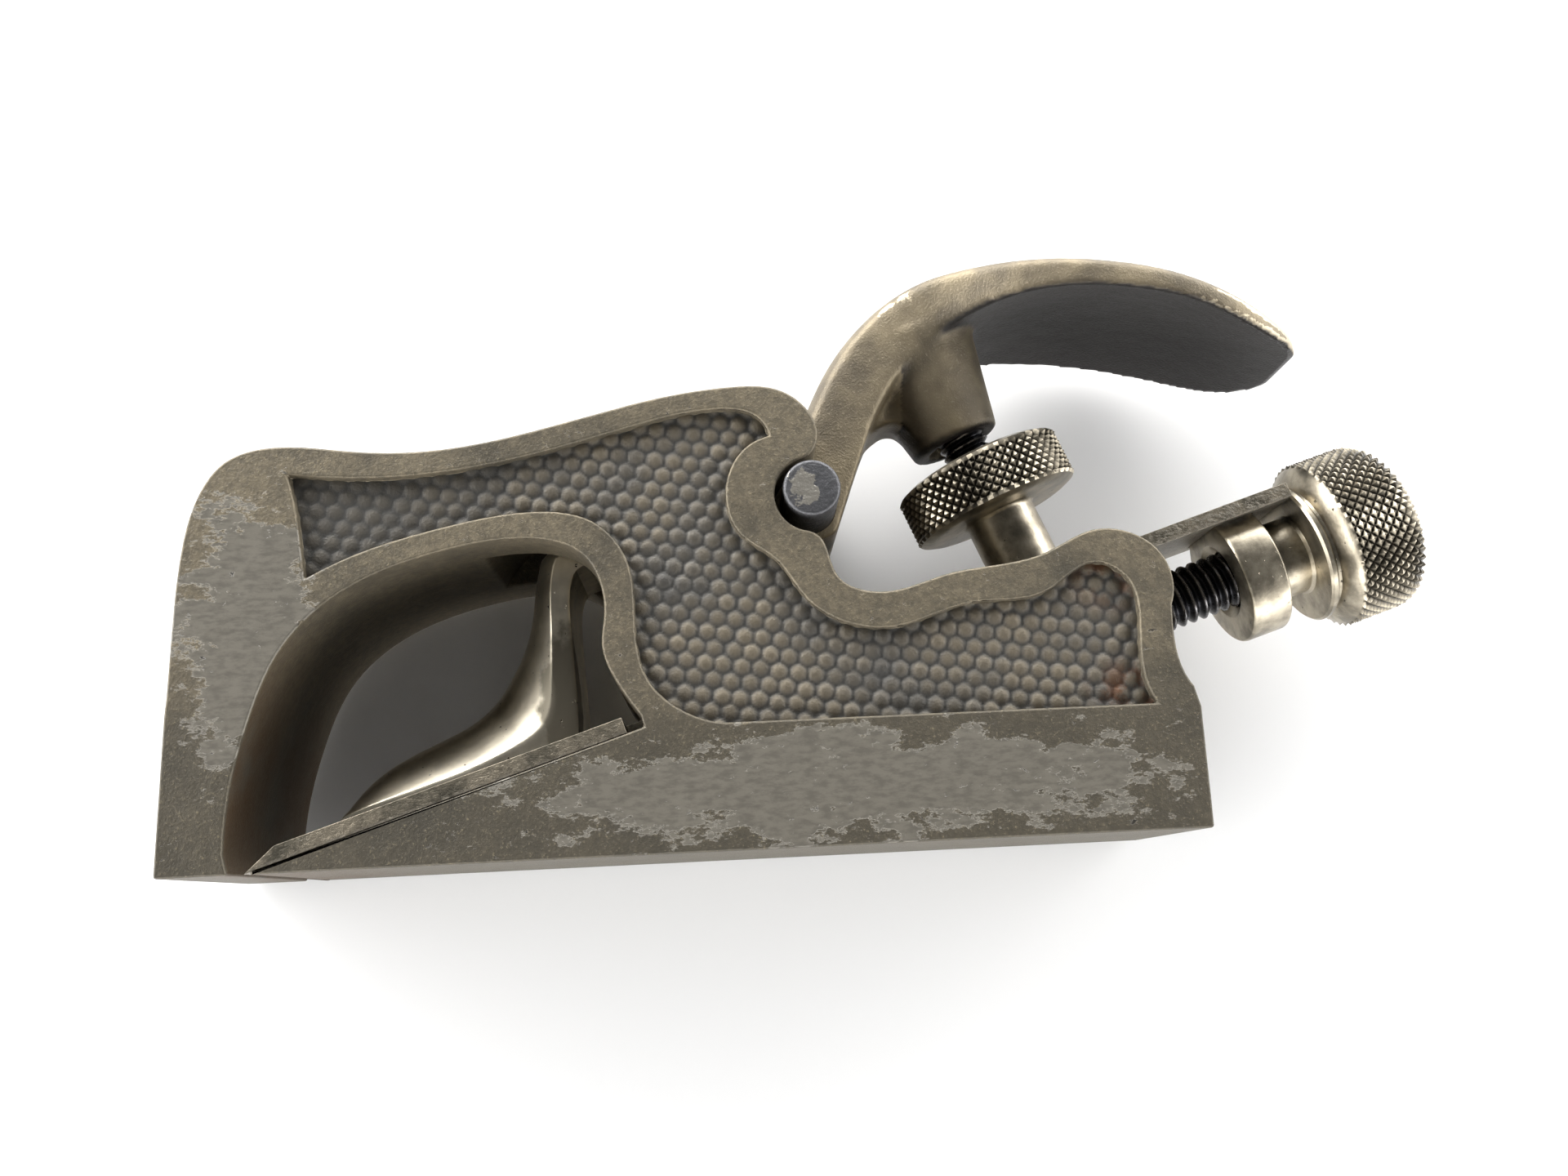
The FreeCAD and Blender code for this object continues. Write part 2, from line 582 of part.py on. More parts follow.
# ---------------------------------------------------------------- clamp screw
# The foot's rim nearest the cutter stands the foot's gap above it.
FOOT_DROP = ("((pivot_z + screw_rise - (pivot_x + screw_reach - bed_start) * tan(bed_angle)"
             " - (blade_thickness + bed_gap) / cos(bed_angle))"
             " / (cos(screw_lean) + tan(bed_angle) * sin(screw_lean)))")
FOOT_TIP = "-%s + foot_gap + foot_dia / 2 * tan(screw_lean - bed_angle)" % FOOT_DROP
STUD_LOW = "wheel_thickness / 2 - screw_seat"
STUD_TOP = BOSS_RIM + " + screw_hold"
stud = turned_piece("clamp_stud", [
    ("0", STUD_LOW), ("screw_dia / 2", STUD_LOW), ("screw_dia / 2", STUD_TOP + " - thread_lead"),
    ("screw_dia / 2 - thread_lead", STUD_TOP), ("0", STUD_TOP)])
move_to_frame(stud, WHEEL, -size("screw_lean"))

wheel = turned_piece("clamp_wheel", [
    ("0", FOOT_TIP), ("foot_dia / 2 - foot_chamfer", FOOT_TIP),
    ("foot_dia / 2", FOOT_TIP + " + foot_chamfer"), ("foot_dia / 2", "-wheel_thickness / 2"),
    ("wheel_dia / 2 - wheel_chamfer", "-wheel_thickness / 2"),
    ("wheel_dia / 2", "-wheel_thickness / 2 + wheel_chamfer"),
    ("wheel_dia / 2", "wheel_thickness / 2 - wheel_chamfer"),
    ("wheel_dia / 2 - wheel_chamfer", "wheel_thickness / 2"),
    (THREAD, "wheel_thickness / 2"), (THREAD, STUD_LOW), ("0", STUD_LOW)])
move_to_frame(wheel, WHEEL, -size("screw_lean"))

# ---------------------------------------------------------------- adjuster
NECK_END = "collar_thickness + neck_length"
adjuster_stud = turned_piece("adjuster_stud", [
    ("0", STUD_START), ("stud_dia / 2", STUD_START), ("stud_dia / 2", NECK_END + " - thread_lead"),
    ("stud_dia / 2 - thread_lead", NECK_END), ("0", NECK_END)])
move_to_frame(adjuster_stud, COLLAR, 90 - size("bed_angle"))

FLANGE_END = NECK_END + " + flange_thickness"
KNOB_END = FLANGE_END + " + knob_length"
BORE_END = NECK_END + " + stud_spare"
nut = turned_piece("adjuster_nut", [
    (BORE, "0"), ("collar_dia / 2 - edge_break", "0"), ("collar_dia / 2", "edge_break"),
    ("collar_dia / 2", "collar_thickness - edge_break"),
    ("collar_dia / 2 - edge_break", "collar_thickness"), ("neck_dia / 2", "collar_thickness"),
    ("neck_dia / 2", NECK_END), ("flange_dia / 2", NECK_END), ("flange_dia / 2", FLANGE_END),
    ("flange_dia / 2 - groove_depth", FLANGE_END + " + groove_width / 2"),
    ("flange_dia / 2 + edge_break", FLANGE_END + " + groove_width"),
    ("knob_dia / 2 - shoulder_step", FLANGE_END + " + shoulder_length"),
    ("knob_dia / 2", FLANGE_END + " + knurl_start"), ("knob_dia / 2", KNOB_END + " - knob_crown"),
    ("0", KNOB_END), ("0", BORE_END), (BORE, BORE_END)])
doc.recompute()
turned = nut.Tip
rim_height = value(KNOB_END + " - knob_crown")
knob_edge = nut.newObject("PartDesign::Fillet", "knob_edge")
knob_edge.Base = (turned, round_edges(turned, size("knob_dia") / 2, rim_height))
bind(knob_edge, "Radius", "knob_round")
move_to_frame(nut, COLLAR, 90 - size("bed_angle"))

# ---------------------------------------------------------------- check and write
doc.recompute()
for item in doc.Objects:
    if "Invalid" in item.State or "Error" in item.State:
        raise RuntimeError("%s: %s" % (item.Name, item.State))
pieces = [body, blade, lever, pin, stud, wheel, adjuster_stud, nut]
os.makedirs("parts", exist_ok=True)
for piece in pieces:
    shape = piece.Shape
    if shape.isNull() or not shape.isValid() or len(shape.Solids) != 1:
        raise RuntimeError("bad shape: " + piece.Label)
    box = shape.BoundBox
    print("%-16s vol %9.1f  x %7.2f %7.2f  y %6.2f %6.2f  z %6.2f %6.2f" % (
        piece.Label, shape.Volume, box.XMin, box.XMax, box.YMin, box.YMax, box.ZMin, box.ZMax))
for piece in pieces:
    piece.Shape.exportStep("parts/" + piece.Label + ".step")
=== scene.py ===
import json
import logging
import math
import random
from dataclasses import dataclass, field
from enum import Enum
from typing import Optional, Sequence, Union

import bmesh
import bpy
from mathutils import Matrix, Vector
from mathutils.bvhtree import BVHTree


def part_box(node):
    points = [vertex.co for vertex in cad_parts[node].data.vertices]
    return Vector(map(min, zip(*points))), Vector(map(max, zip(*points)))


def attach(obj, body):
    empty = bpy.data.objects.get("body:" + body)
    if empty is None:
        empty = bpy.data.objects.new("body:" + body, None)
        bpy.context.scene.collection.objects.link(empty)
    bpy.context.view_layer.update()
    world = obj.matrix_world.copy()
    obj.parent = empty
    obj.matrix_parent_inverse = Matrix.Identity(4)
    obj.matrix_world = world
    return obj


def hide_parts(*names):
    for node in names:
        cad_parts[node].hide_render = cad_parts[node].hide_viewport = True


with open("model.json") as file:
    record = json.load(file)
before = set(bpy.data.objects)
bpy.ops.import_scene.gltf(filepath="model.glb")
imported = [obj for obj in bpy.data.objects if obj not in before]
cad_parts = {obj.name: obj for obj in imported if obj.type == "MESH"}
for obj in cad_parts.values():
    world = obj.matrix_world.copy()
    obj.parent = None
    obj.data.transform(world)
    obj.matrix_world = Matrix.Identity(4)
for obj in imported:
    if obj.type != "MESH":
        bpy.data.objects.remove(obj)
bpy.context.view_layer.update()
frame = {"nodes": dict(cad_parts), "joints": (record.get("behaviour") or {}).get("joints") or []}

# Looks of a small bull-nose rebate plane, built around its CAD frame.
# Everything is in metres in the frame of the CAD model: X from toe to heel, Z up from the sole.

MM = 0.001
LOG = logging.getLogger("rebate_plane")
THREAD_STEEPNESS = 1.35     # slope of a thread's flanks against its pitch
THREAD_CREST = 0.15         # share of the pitch that stays uncut at a crest
MERGE = 2e-6                # CAD vertices closer than this are one, in metres
UNDERSIDE = (1.0, 0.93, 0.5, 0.0, -0.5, -0.93, -1.0)  # across the lever cap's lower faces
Socket = bpy.types.NodeSocket
Value = Union[float, Socket]
Colour = tuple[float, float, float]
Point2 = tuple[float, float]


class Side(Enum):
    """The two sides of the plane, by the sign of Y."""

    LEFT = -1
    RIGHT = 1


# ------------------------------------------------------------------ the frame's own places
def joint(name: str) -> dict:
    """Find one joint of the frame.

    Args:
        name: the joint's name.

    Returns:
        The joint's entry in the record.
    """
    return next(entry for entry in frame["joints"] if entry["name"] == name)


def joint_axis(name: str) -> Vector:
    """Unit vector of a joint's axis.

    Args:
        name: the joint's name.

    Returns:
        The vector.
    """
    return Vector(joint(name)["axis"]).normalized()


def joint_place(name: str) -> Vector:
    """Point on a joint's axis, in metres.

    Args:
        name: the joint's name.

    Returns:
        The point.
    """
    return Vector(joint(name)["pos_m"])


PIVOT = joint_place("lever_pivot")
BODY_LOW, BODY_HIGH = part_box("body_casting")
HALF_WIDTH = BODY_HIGH.y
BED = -joint_axis("blade_feed")
SLOPE = BED.z / BED.x


def from_pivot(dx: float, dz: float, y: float = 0.0) -> Vector:
    """Point placed from the cross pin.

    Args:
        dx: millimetres towards the heel.
        dz: millimetres up.
        y: millimetres across, from the middle plane.

    Returns:
        The point in metres.
    """
    return Vector((PIVOT.x + dx * MM, y * MM, PIVOT.z + dz * MM))


# ------------------------------------------------------------------ meshes
def new_piece(name: str, bm: bmesh.types.BMesh, sharp: float = 35.0) -> bpy.types.Object:
    """Turn a finished bmesh into an object of the scene.

    Args:
        name: the piece's name.
        bm: the mesh, in metres in the plane's frame; it is freed.
        sharp: edges that turn by more than this many degrees stay sharp.

    Returns:
        The new object, at the origin.
    """
    mesh = bpy.data.meshes.new(name)
    bm.to_mesh(mesh)
    bm.free()
    mesh.shade_smooth()
    mesh.set_sharp_from_angle(angle=math.radians(sharp))
    piece = bpy.data.objects.new(name, mesh)
    bpy.context.scene.collection.objects.link(piece)
    return piece


def dress(piece: bpy.types.Object, material: bpy.types.Material) -> None:
    """Give a piece one material in place of all others.

    Args:
        piece: the piece.
        material: its new material.
    """
    piece.data.materials.clear()
    piece.data.materials.append(material)


def weigh_normals(piece: bpy.types.Object) -> None:
    """Let a piece's large flat faces keep their own normals beside small bevels.

    Args:
        piece: the piece.
    """
    weigh = piece.modifiers.new("flat_faces", "WEIGHTED_NORMAL")
    weigh.mode = "FACE_AREA"
    weigh.weight = 60
    weigh.keep_sharp = True


def baked(piece: bpy.types.Object) -> bmesh.types.BMesh:
    """Apply a piece's modifiers and take the piece away.

    Args:
        piece: an object with live modifiers.

    Returns:
        The mesh as the modifiers leave it.
    """
    graph = bpy.context.evaluated_depsgraph_get()
    graph.update()
    bm = bmesh.new()
    bm.from_mesh(piece.evaluated_get(graph).to_mesh())
    bpy.data.objects.remove(piece)
    return bm


def bevel_sharp(bm: bmesh.types.BMesh, width: float, turn: float = 30.0, segments: int = 2) -> None:
    """Round every edge that turns by more than an angle.

    Args:
        bm: the mesh.
        width: width of the bevel in metres.
        turn: the angle in degrees.
        segments: faces across the bevel.
    """
    limit = math.radians(turn)
    edges = [edge for edge in bm.edges if edge.is_manifold and edge.calc_face_angle(0.0) > limit]
    bmesh.ops.bevel(bm, geom=edges, offset=width, offset_type="OFFSET", affect="EDGES",
                    segments=segments, profile=0.5, material=-1, clamp_overlap=False)


def casting_copy(node: str, width: float) -> bmesh.types.BMesh:
    """Copy a CAD node's mesh, merge its loose triangles and round its edges.

    Args:
        node: the CAD node.
        width: width of the rounding in metres.

    Returns:
        The new mesh.
    """
    bm = bmesh.new()
    bm.from_mesh(frame["nodes"][node].data)
    bmesh.ops.remove_doubles(bm, verts=bm.verts, dist=MERGE)
    bmesh.ops.dissolve_limit(bm, angle_limit=math.radians(1.0), verts=bm.verts, edges=bm.edges)
    bevel_sharp(bm, width)
    return bm


# ------------------------------------------------------------------ shader graphs
class Graph:
    """Adds the nodes of one procedural material, read in object coordinates."""

    def __init__(self, name: str) -> None:
        """Start a material with one principled shader.

        Args:
            name: the material's name.
        """
        self.material = bpy.data.materials.new(name)
        self.material.use_nodes = True
        self.nodes = self.material.node_tree.nodes
        self.links = self.material.node_tree.links
        self.shader = self.nodes["Principled BSDF"]
        self.place = self.nodes.new("ShaderNodeTexCoord").outputs["Object"]
        split = self.nodes.new("ShaderNodeSeparateXYZ")
        self.links.new(self.place, split.inputs[0])
        self.x, self.y, self.z = split.outputs

    def feed(self, socket: Socket, value: object) -> None:
        """Link a socket to another, or set it to a value.

        Args:
            socket: the input to fill.
            value: an output, a number, a colour or a vector.
        """
        if isinstance(value, bpy.types.NodeSocket):
            self.links.new(value, socket)
        elif socket.type == "RGBA":
            socket.default_value = (*value, 1.0)
        else:
            socket.default_value = value

    def math(self, operation: str, first: Value, second: Value = 0.0) -> Socket:
        """Result of one math operation on two values.

        Args:
            operation: the node's operation.
            first: the first value.
            second: the second value.

        Returns:
            The result.
        """
        node = self.nodes.new("ShaderNodeMath")
        node.operation = operation
        self.feed(node.inputs[0], first)
        self.feed(node.inputs[1], second)
        return node.outputs[0]

    def times(self, first: Value, second: Value) -> Socket:
        """Product of two values.

        Args:
            first: one value.
            second: the other.

        Returns:
            The product.
        """
        return self.math("MULTIPLY", first, second)

    def plus(self, first: Value, second: Value) -> Socket:
        """Sum of two values.

        Args:
            first: one value.
            second: the other.

        Returns:
            The sum.
        """
        return self.math("ADD", first, second)

    def less(self, first: Value, second: Value) -> Socket:
        """First value less the second.

        Args:
            first: the value to take from.
            second: the value to take away.

        Returns:
            The difference.
        """
        return self.math("SUBTRACT", first, second)

    def larger(self, first: Value, second: Value) -> Socket:
        """Larger of two values.

        Args:
            first: one value.
            second: the other.

        Returns:
            The larger one.
        """
        return self.math("MAXIMUM", first, second)

    def noise(self, size: float, detail: float = 4.0, rough: float = 0.55,
              stretch: Optional[Colour] = None, seed: float = 0.0) -> Socket:
        """Fractal noise about 0.5.

        Args:
            size: size of its largest features in millimetres.
            detail: octaves of finer noise.
            rough: strength of the finer octaves.
            stretch: scale of the pattern along X, Y and Z.
            seed: shifts the pattern.

        Returns:
            The noise's value.
        """
        node = self.nodes.new("ShaderNodeTexNoise")
        mapping = self.nodes.new("ShaderNodeMapping")
        self.links.new(self.place, mapping.inputs["Vector"])
        mapping.inputs["Location"].default_value = (seed * 0.13, seed * 0.07, seed * 0.19)
        mapping.inputs["Scale"].default_value = stretch or (1.0, 1.0, 1.0)
        self.links.new(mapping.outputs[0], node.inputs["Vector"])
        node.inputs["Scale"].default_value = 1.0 / (size * MM)
        node.inputs["Detail"].default_value = detail
        node.inputs["Roughness"].default_value = rough
        return node.outputs[0]

    def step(self, value: Value, low: float, high: float) -> Socket:
        """Smooth step from 0 at low to 1 at high.

        Args:
            value: the value to read.
            low: the result is 0 here.
            high: the result is 1 here; it may be below low.

        Returns:
            The step's value, from 0 to 1.
        """
        node = self.nodes.new("ShaderNodeMapRange")
        node.interpolation_type = "SMOOTHSTEP"
        self.feed(node.inputs["Value"], value)
        node.inputs["From Min"].default_value = low
        node.inputs["From Max"].default_value = high
        return node.outputs[0]

    def near(self, point: Vector, reach: float, scale: Colour = (1.0, 1.0, 1.0)) -> Socket:
        """Mask that falls from 1 at a point to 0 at a distance.

        Args:
            point: the point, in metres.
            reach: the distance in metres.
            scale: weights of X, Y and Z in the distance.

        Returns:
            The mask.
        """
        offset = self.nodes.new("ShaderNodeVectorMath")
        offset.operation = "SUBTRACT"
        self.links.new(self.place, offset.inputs[0])
        offset.inputs[1].default_value = point
        weigh = self.nodes.new("ShaderNodeVectorMath")
        weigh.operation = "MULTIPLY"
        self.links.new(offset.outputs[0], weigh.inputs[0])
        weigh.inputs[1].default_value = scale
        length = self.nodes.new("ShaderNodeVectorMath")
        length.operation = "LENGTH"
        self.links.new(weigh.outputs[0], length.inputs[0])
        return self.step(length.outputs["Value"], reach, 0.0)

    def mix(self, factor: Value, first: object, second: object) -> Socket:
        """Blend two colours.

        Args:
            factor: share of the second colour, from 0 to 1.
            first: one colour.
            second: the other.

        Returns:
            The blended colour.
        """
        node = self.nodes.new("ShaderNodeMix")
        node.data_type = "RGBA"
        self.feed(node.inputs[0], factor)
        self.feed(node.inputs[6], first)
        self.feed(node.inputs[7], second)
        return node.outputs[2]

    def blend(self, factor: Value, first: Value, second: Value) -> Socket:
        """Blend two numbers.

        Args:
            factor: share of the second number, from 0 to 1.
            first: one number.
            second: the other.

        Returns:
            The blended number.
        """
        node = self.nodes.new("ShaderNodeMix")
        node.data_type = "FLOAT"
        self.feed(node.inputs[0], factor)
        self.feed(node.inputs[2], first)
        self.feed(node.inputs[3], second)
        return node.outputs[0]

    def attribute(self, name: str) -> Socket:
        """Value that a piece's mesh stores at each corner or vertex.

        Args:
            name: the attribute's name.

        Returns:
            The stored value.
        """
        node = self.nodes.new("ShaderNodeAttribute")
        node.attribute_name = name
        return node.outputs["Fac"]

    def bump(self, *layers: tuple[Socket, float]) -> None:
        """Stack bumps on the shader's normal.

        Args:
            layers: pairs of a height from 0 to 1 and its depth in millimetres.
        """
        normal: Optional[Socket] = None
        for height, depth in layers:
            node = self.nodes.new("ShaderNodeBump")
            node.inputs["Strength"].default_value = 1.0
            node.inputs["Distance"].default_value = depth * MM
            self.links.new(height, node.inputs["Height"])
            if normal:
                self.links.new(normal, node.inputs["Normal"])
            normal = node.outputs[0]
        self.links.new(normal, self.shader.inputs["Normal"])

    def finish(self, colour: object, metallic: Value, roughness: Value) -> bpy.types.Material:
        """Set the shader's main values and return the material.

        Args:
            colour: base colour.
            metallic: how metallic it is, from 0 to 1.
            roughness: how rough it is, from 0 to 1.

        Returns:
            The material.
        """
        self.feed(self.shader.inputs["Base Color"], colour)
        self.feed(self.shader.inputs["Metallic"], metallic)
        self.feed(self.shader.inputs["Roughness"], roughness)
        return self.material


# ------------------------------------------------------------------ finishes
@dataclass(frozen=True)
class BodyIron:
    """Cast iron body: dark fine-grained skin, paler worn patches on its flat sides, stains inside."""

    name: str = "body_cast_iron"
    skin: Colour = (0.132, 0.110, 0.074)
    shade: Colour = (0.046, 0.041, 0.031)
    speck: Colour = (0.30, 0.25, 0.155)
    patch: Colour = (0.124, 0.113, 0.092)
    pit: Colour = (0.014, 0.012, 0.010)
    stain: Colour = (0.050, 0.028, 0.012)
    cloud_size: float = 9.0      # sizes of the patterns, mm
    mottle_size: float = 0.8
    grain_size: float = 0.30
    scratch_size: float = 0.9
    pit_size: float = 1.1
    ragged_size: float = 5.0
    patch_level: Point2 = (0.66, 0.69)
    patch_share: float = 0.36    # how far the worn places outweigh chance
    patch_shade: float = 0.74    # darkest worn metal, as a share of the lightest
    foot_shade: float = 0.30     # share of the skin's tone that is left low on the sides
    metallic: Point2 = (0.55, 0.35)  # of the skin and of the patches

    def patches(self, graph: Graph) -> Socket:
        """Mask of the worn patches on the nose and along the foot of each side.

        Args:
            graph: the material's graph.

        Returns:
            The mask.
        """
        nose = graph.near(Vector((BODY_LOW.x + 8 * MM, 0, 23 * MM)), 21 * MM, (1.7, 0.0, 0.85))
        foot = graph.near(Vector((15 * MM, 0, 6.0 * MM)), 56 * MM, (1.0, 0.0, 6.0))
        region = graph.larger(nose, foot)
        ragged = graph.noise(self.ragged_size, 10.0, 0.74, (0.8, 1.0, 1.7), 2.0)
        level = graph.plus(graph.times(region, self.patch_share), ragged)
        flat = graph.step(graph.math("ABSOLUTE", graph.y), HALF_WIDTH - 0.25 * MM, HALF_WIDTH - 0.1 * MM)
        return graph.times(graph.step(level, *self.patch_level), flat)

    def dress(self) -> bpy.types.Material:
        """Build the material.

        Returns:
            The material.
        """
        graph = Graph(self.name)
        cloud = graph.noise(self.cloud_size, 3.0, 0.6)
        mottle = graph.step(graph.noise(self.mottle_size, 4.0, 0.7, seed=6.0), 0.38, 0.62)
        grain = graph.noise(self.grain_size, 3.0, 0.7, seed=1.0)
        patch = self.patches(graph)
        high = graph.blend(graph.step(graph.z, 10 * MM, 20 * MM), self.foot_shade, 1.0)
        tone = graph.times(graph.blend(mottle, 0.55, 1.0), graph.step(cloud, 0.15, 0.6))
        colour = graph.mix(graph.times(tone, high), self.shade, self.skin)
        colour = graph.mix(graph.times(graph.step(grain, 0.56, 0.78), 0.42), colour, self.speck)
        scratches = graph.noise(self.scratch_size, 6.0, 0.65, (0.55, 1.0, 1.5), 5.0)
        dull = tuple(self.patch_shade * part for part in self.patch)
        worn = graph.mix(graph.step(scratches, 0.36, 0.60), dull, self.patch)
        colour = graph.mix(patch, colour, worn)
        pits = graph.step(graph.noise(self.pit_size, 5.0, 0.65, (0.8, 1.0, 1.3), 7.0), 0.66, 0.72)
        colour = graph.mix(graph.times(pits, 0.8), colour, self.pit)
        inside = graph.step(graph.math("ABSOLUTE", graph.y), HALF_WIDTH - 0.2 * MM, HALF_WIDTH - 0.8 * MM)
        window = graph.near(Vector((BODY_LOW.x + 11 * MM, 0, 8 * MM)), 16 * MM, (1.0, 0.0, 0.8))
        rust = graph.times(graph.times(window, inside), graph.step(cloud, 0.3, 0.6))
        colour = graph.mix(rust, colour, self.stain)
        rough = graph.blend(patch, graph.blend(grain, 0.42, 0.66), graph.blend(scratches, 0.42, 0.6))
        skin_grain = graph.times(grain, graph.blend(patch, 1.0, 0.12))
        graph.bump((skin_grain, 0.07), (graph.less(1.0, pits), 0.05),
                   (graph.times(patch, -1.0), 0.004), (cloud, 0.25))
        return graph.finish(colour, graph.blend(patch, *self.metallic), rough)


@dataclass(frozen=True)
class PanelIron:
    """Sunk panel: dark grey painted shade between the bumps, brown where they rise, partly their own colour
    and partly painted light that fades towards the toe, and rust in two corners.
    """

    name: str = "sunk_panel_iron"
    # low is the grey of the painted shade between the bumps, high the brown where they rise, partly painted
    # light
    low: Colour = (0.050, 0.049, 0.046)
    high: Colour = (0.125, 0.105, 0.074)
    rust: Colour = (0.085, 0.034, 0.012)
    cloud_size: float = 11.0     # sizes of the patterns, mm
    grain_size: float = 0.3
    spot_size: float = 2.2
    metallic: float = 0.5

    def dress(self) -> bpy.types.Material:
        """Build the material.

        Returns:
            The material.
        """
        graph = Graph(self.name)
        height = graph.attribute("height")
        cloud = graph.noise(self.cloud_size, 3.0, 0.6, seed=3.0)
        grain = graph.noise(self.grain_size, 3.0, 0.7, seed=4.0)
        front = graph.step(graph.x, BODY_LOW.x + 18 * MM, BODY_LOW.x + 46 * MM)
        # painted light on the bumps' crowns and painted shade between them, the light weaker towards the toe
        lit = graph.times(graph.step(cloud, 0.25, 0.58), graph.blend(front, 0.35, 1.0))
        brown_lit_tops = graph.times(graph.step(height, 0.05, 0.9), lit)
        colour = graph.mix(brown_lit_tops, self.low, self.high)
        colour = graph.mix(graph.times(graph.step(grain, 0.58, 0.8), 0.5), colour, self.high)
        heel_top = graph.near(Vector((BODY_HIGH.x - 7 * MM, 0, 27.5 * MM)), 8 * MM, (1.0, 0.0, 1.1))
        heel_low = graph.near(Vector((BODY_HIGH.x - 6 * MM, 0, 14 * MM)), 7 * MM, (1.0, 0.0, 1.6))
        spots = graph.step(graph.noise(self.spot_size, 5.0, 0.6, seed=9.0), 0.40, 0.62)
        rusty = graph.times(graph.larger(heel_top, heel_low), spots)
        colour = graph.mix(rusty, colour, self.rust)
        graph.bump((grain, 0.06))
        return graph.finish(colour, self.metallic, graph.blend(grain, 0.40, 0.62))


@dataclass(frozen=True)
class LeverIron:
    """Lever cap's casting: olive brown and finely grained, worn bright at the palm's tip and edges, and
    painted shade nearly black on the palm's downward faces.
    """

    name: str = "lever_cast_iron"
    base: Colour = (0.205, 0.168, 0.108)
    shade: Colour = (0.082, 0.068, 0.048)
    worn: Colour = (0.48, 0.41, 0.29)
    # painted shade: near black for the palm's downward faces
    underside_shade: Colour = (0.012, 0.010, 0.009)
    cloud_size: float = 8.0      # sizes of the patterns, mm
    grain_size: float = 0.26
    ragged_size: float = 1.6
    metallic: float = 0.6

    def dress(self) -> bpy.types.Material:
        """Build the material.

        Returns:
            The material.
        """
        graph = Graph(self.name)
        cloud = graph.noise(self.cloud_size, 3.0, 0.6, seed=11.0)
        grain = graph.noise(self.grain_size, 3.0, 0.7, seed=12.0)
        colour = graph.mix(graph.step(cloud, 0.28, 0.66), self.shade, self.base)
        colour = graph.mix(graph.times(graph.step(grain, 0.56, 0.8), 0.4), colour, self.worn)
        edge = graph.attribute("edge")
        tip = graph.near(from_pivot(52.0, 18.0), 15 * MM, (1.0, 0.35, 1.0))
        arch = graph.near(from_pivot(12.0, 22.5, -7.0), 8 * MM, (0.8, 1.0, 1.4))
        ragged = graph.noise(self.ragged_size, 7.0, 0.65, seed=14.0)
        rub = graph.times(edge, graph.plus(0.30, tip))
        rub = graph.plus(rub, graph.times(arch, 0.30))
        bright = graph.step(graph.plus(rub, ragged), 0.92, 1.02)
        colour = graph.mix(graph.times(bright, 0.8), colour, self.worn)
        # painted shade: the palm's downward faces are darkened nearly to black
        colour = graph.mix(graph.attribute("underside_shade"), colour, self.underside_shade)
        rough = graph.blend(bright, graph.blend(grain, 0.40, 0.62), 0.30)
        graph.bump((grain, 0.07), (cloud, 0.2))
        return graph.finish(colour, self.metallic, rough)


@dataclass(frozen=True)
class BrightNickel:
    """Polished nickel of the boot, with pits and a dull patch at its heel."""

    name: str = "boot_nickel"
    base: Colour = (0.80, 0.73, 0.59)
    dull: Colour = (0.20, 0.18, 0.14)
    pit: Colour = (0.030, 0.025, 0.018)
    cloud_size: float = 4.0      # sizes of the patterns, mm
    pit_size: float = 0.9
    fine_size: float = 0.4
    cloud_shade: float = 0.72    # darkest nickel, as a share of the lightest

    def dress(self) -> bpy.types.Material:
        """Build the material.

        Returns:
            The material.
        """
        graph = Graph(self.name)
        cloud = graph.noise(self.cloud_size, 4.0, 0.6, seed=21.0)
        pits = graph.step(graph.noise(self.pit_size, 4.0, 0.6, seed=22.0), 0.67, 0.72)
        heel = graph.near(from_pivot(-25.0, -19.5, -7.5), 9.5 * MM, (1.5, 1.0, 0.75))
        patch = graph.step(graph.plus(heel, graph.times(cloud, 0.9)), 0.72, 0.92)
        dim = tuple(self.cloud_shade * part for part in self.base)
        colour = graph.mix(graph.step(cloud, 0.3, 0.75), dim, self.base)
        colour = graph.mix(patch, colour, self.dull)
        colour = graph.mix(pits, colour, self.pit)
        rough = graph.blend(patch, graph.blend(cloud, 0.26, 0.44), 0.5)
        fine = graph.noise(self.fine_size, 3.0, 0.6, seed=23.0)
        graph.bump((graph.less(1.0, pits), 0.05), (cloud, 0.08), (fine, 0.006))
        return graph.finish(colour, 1.0, rough)


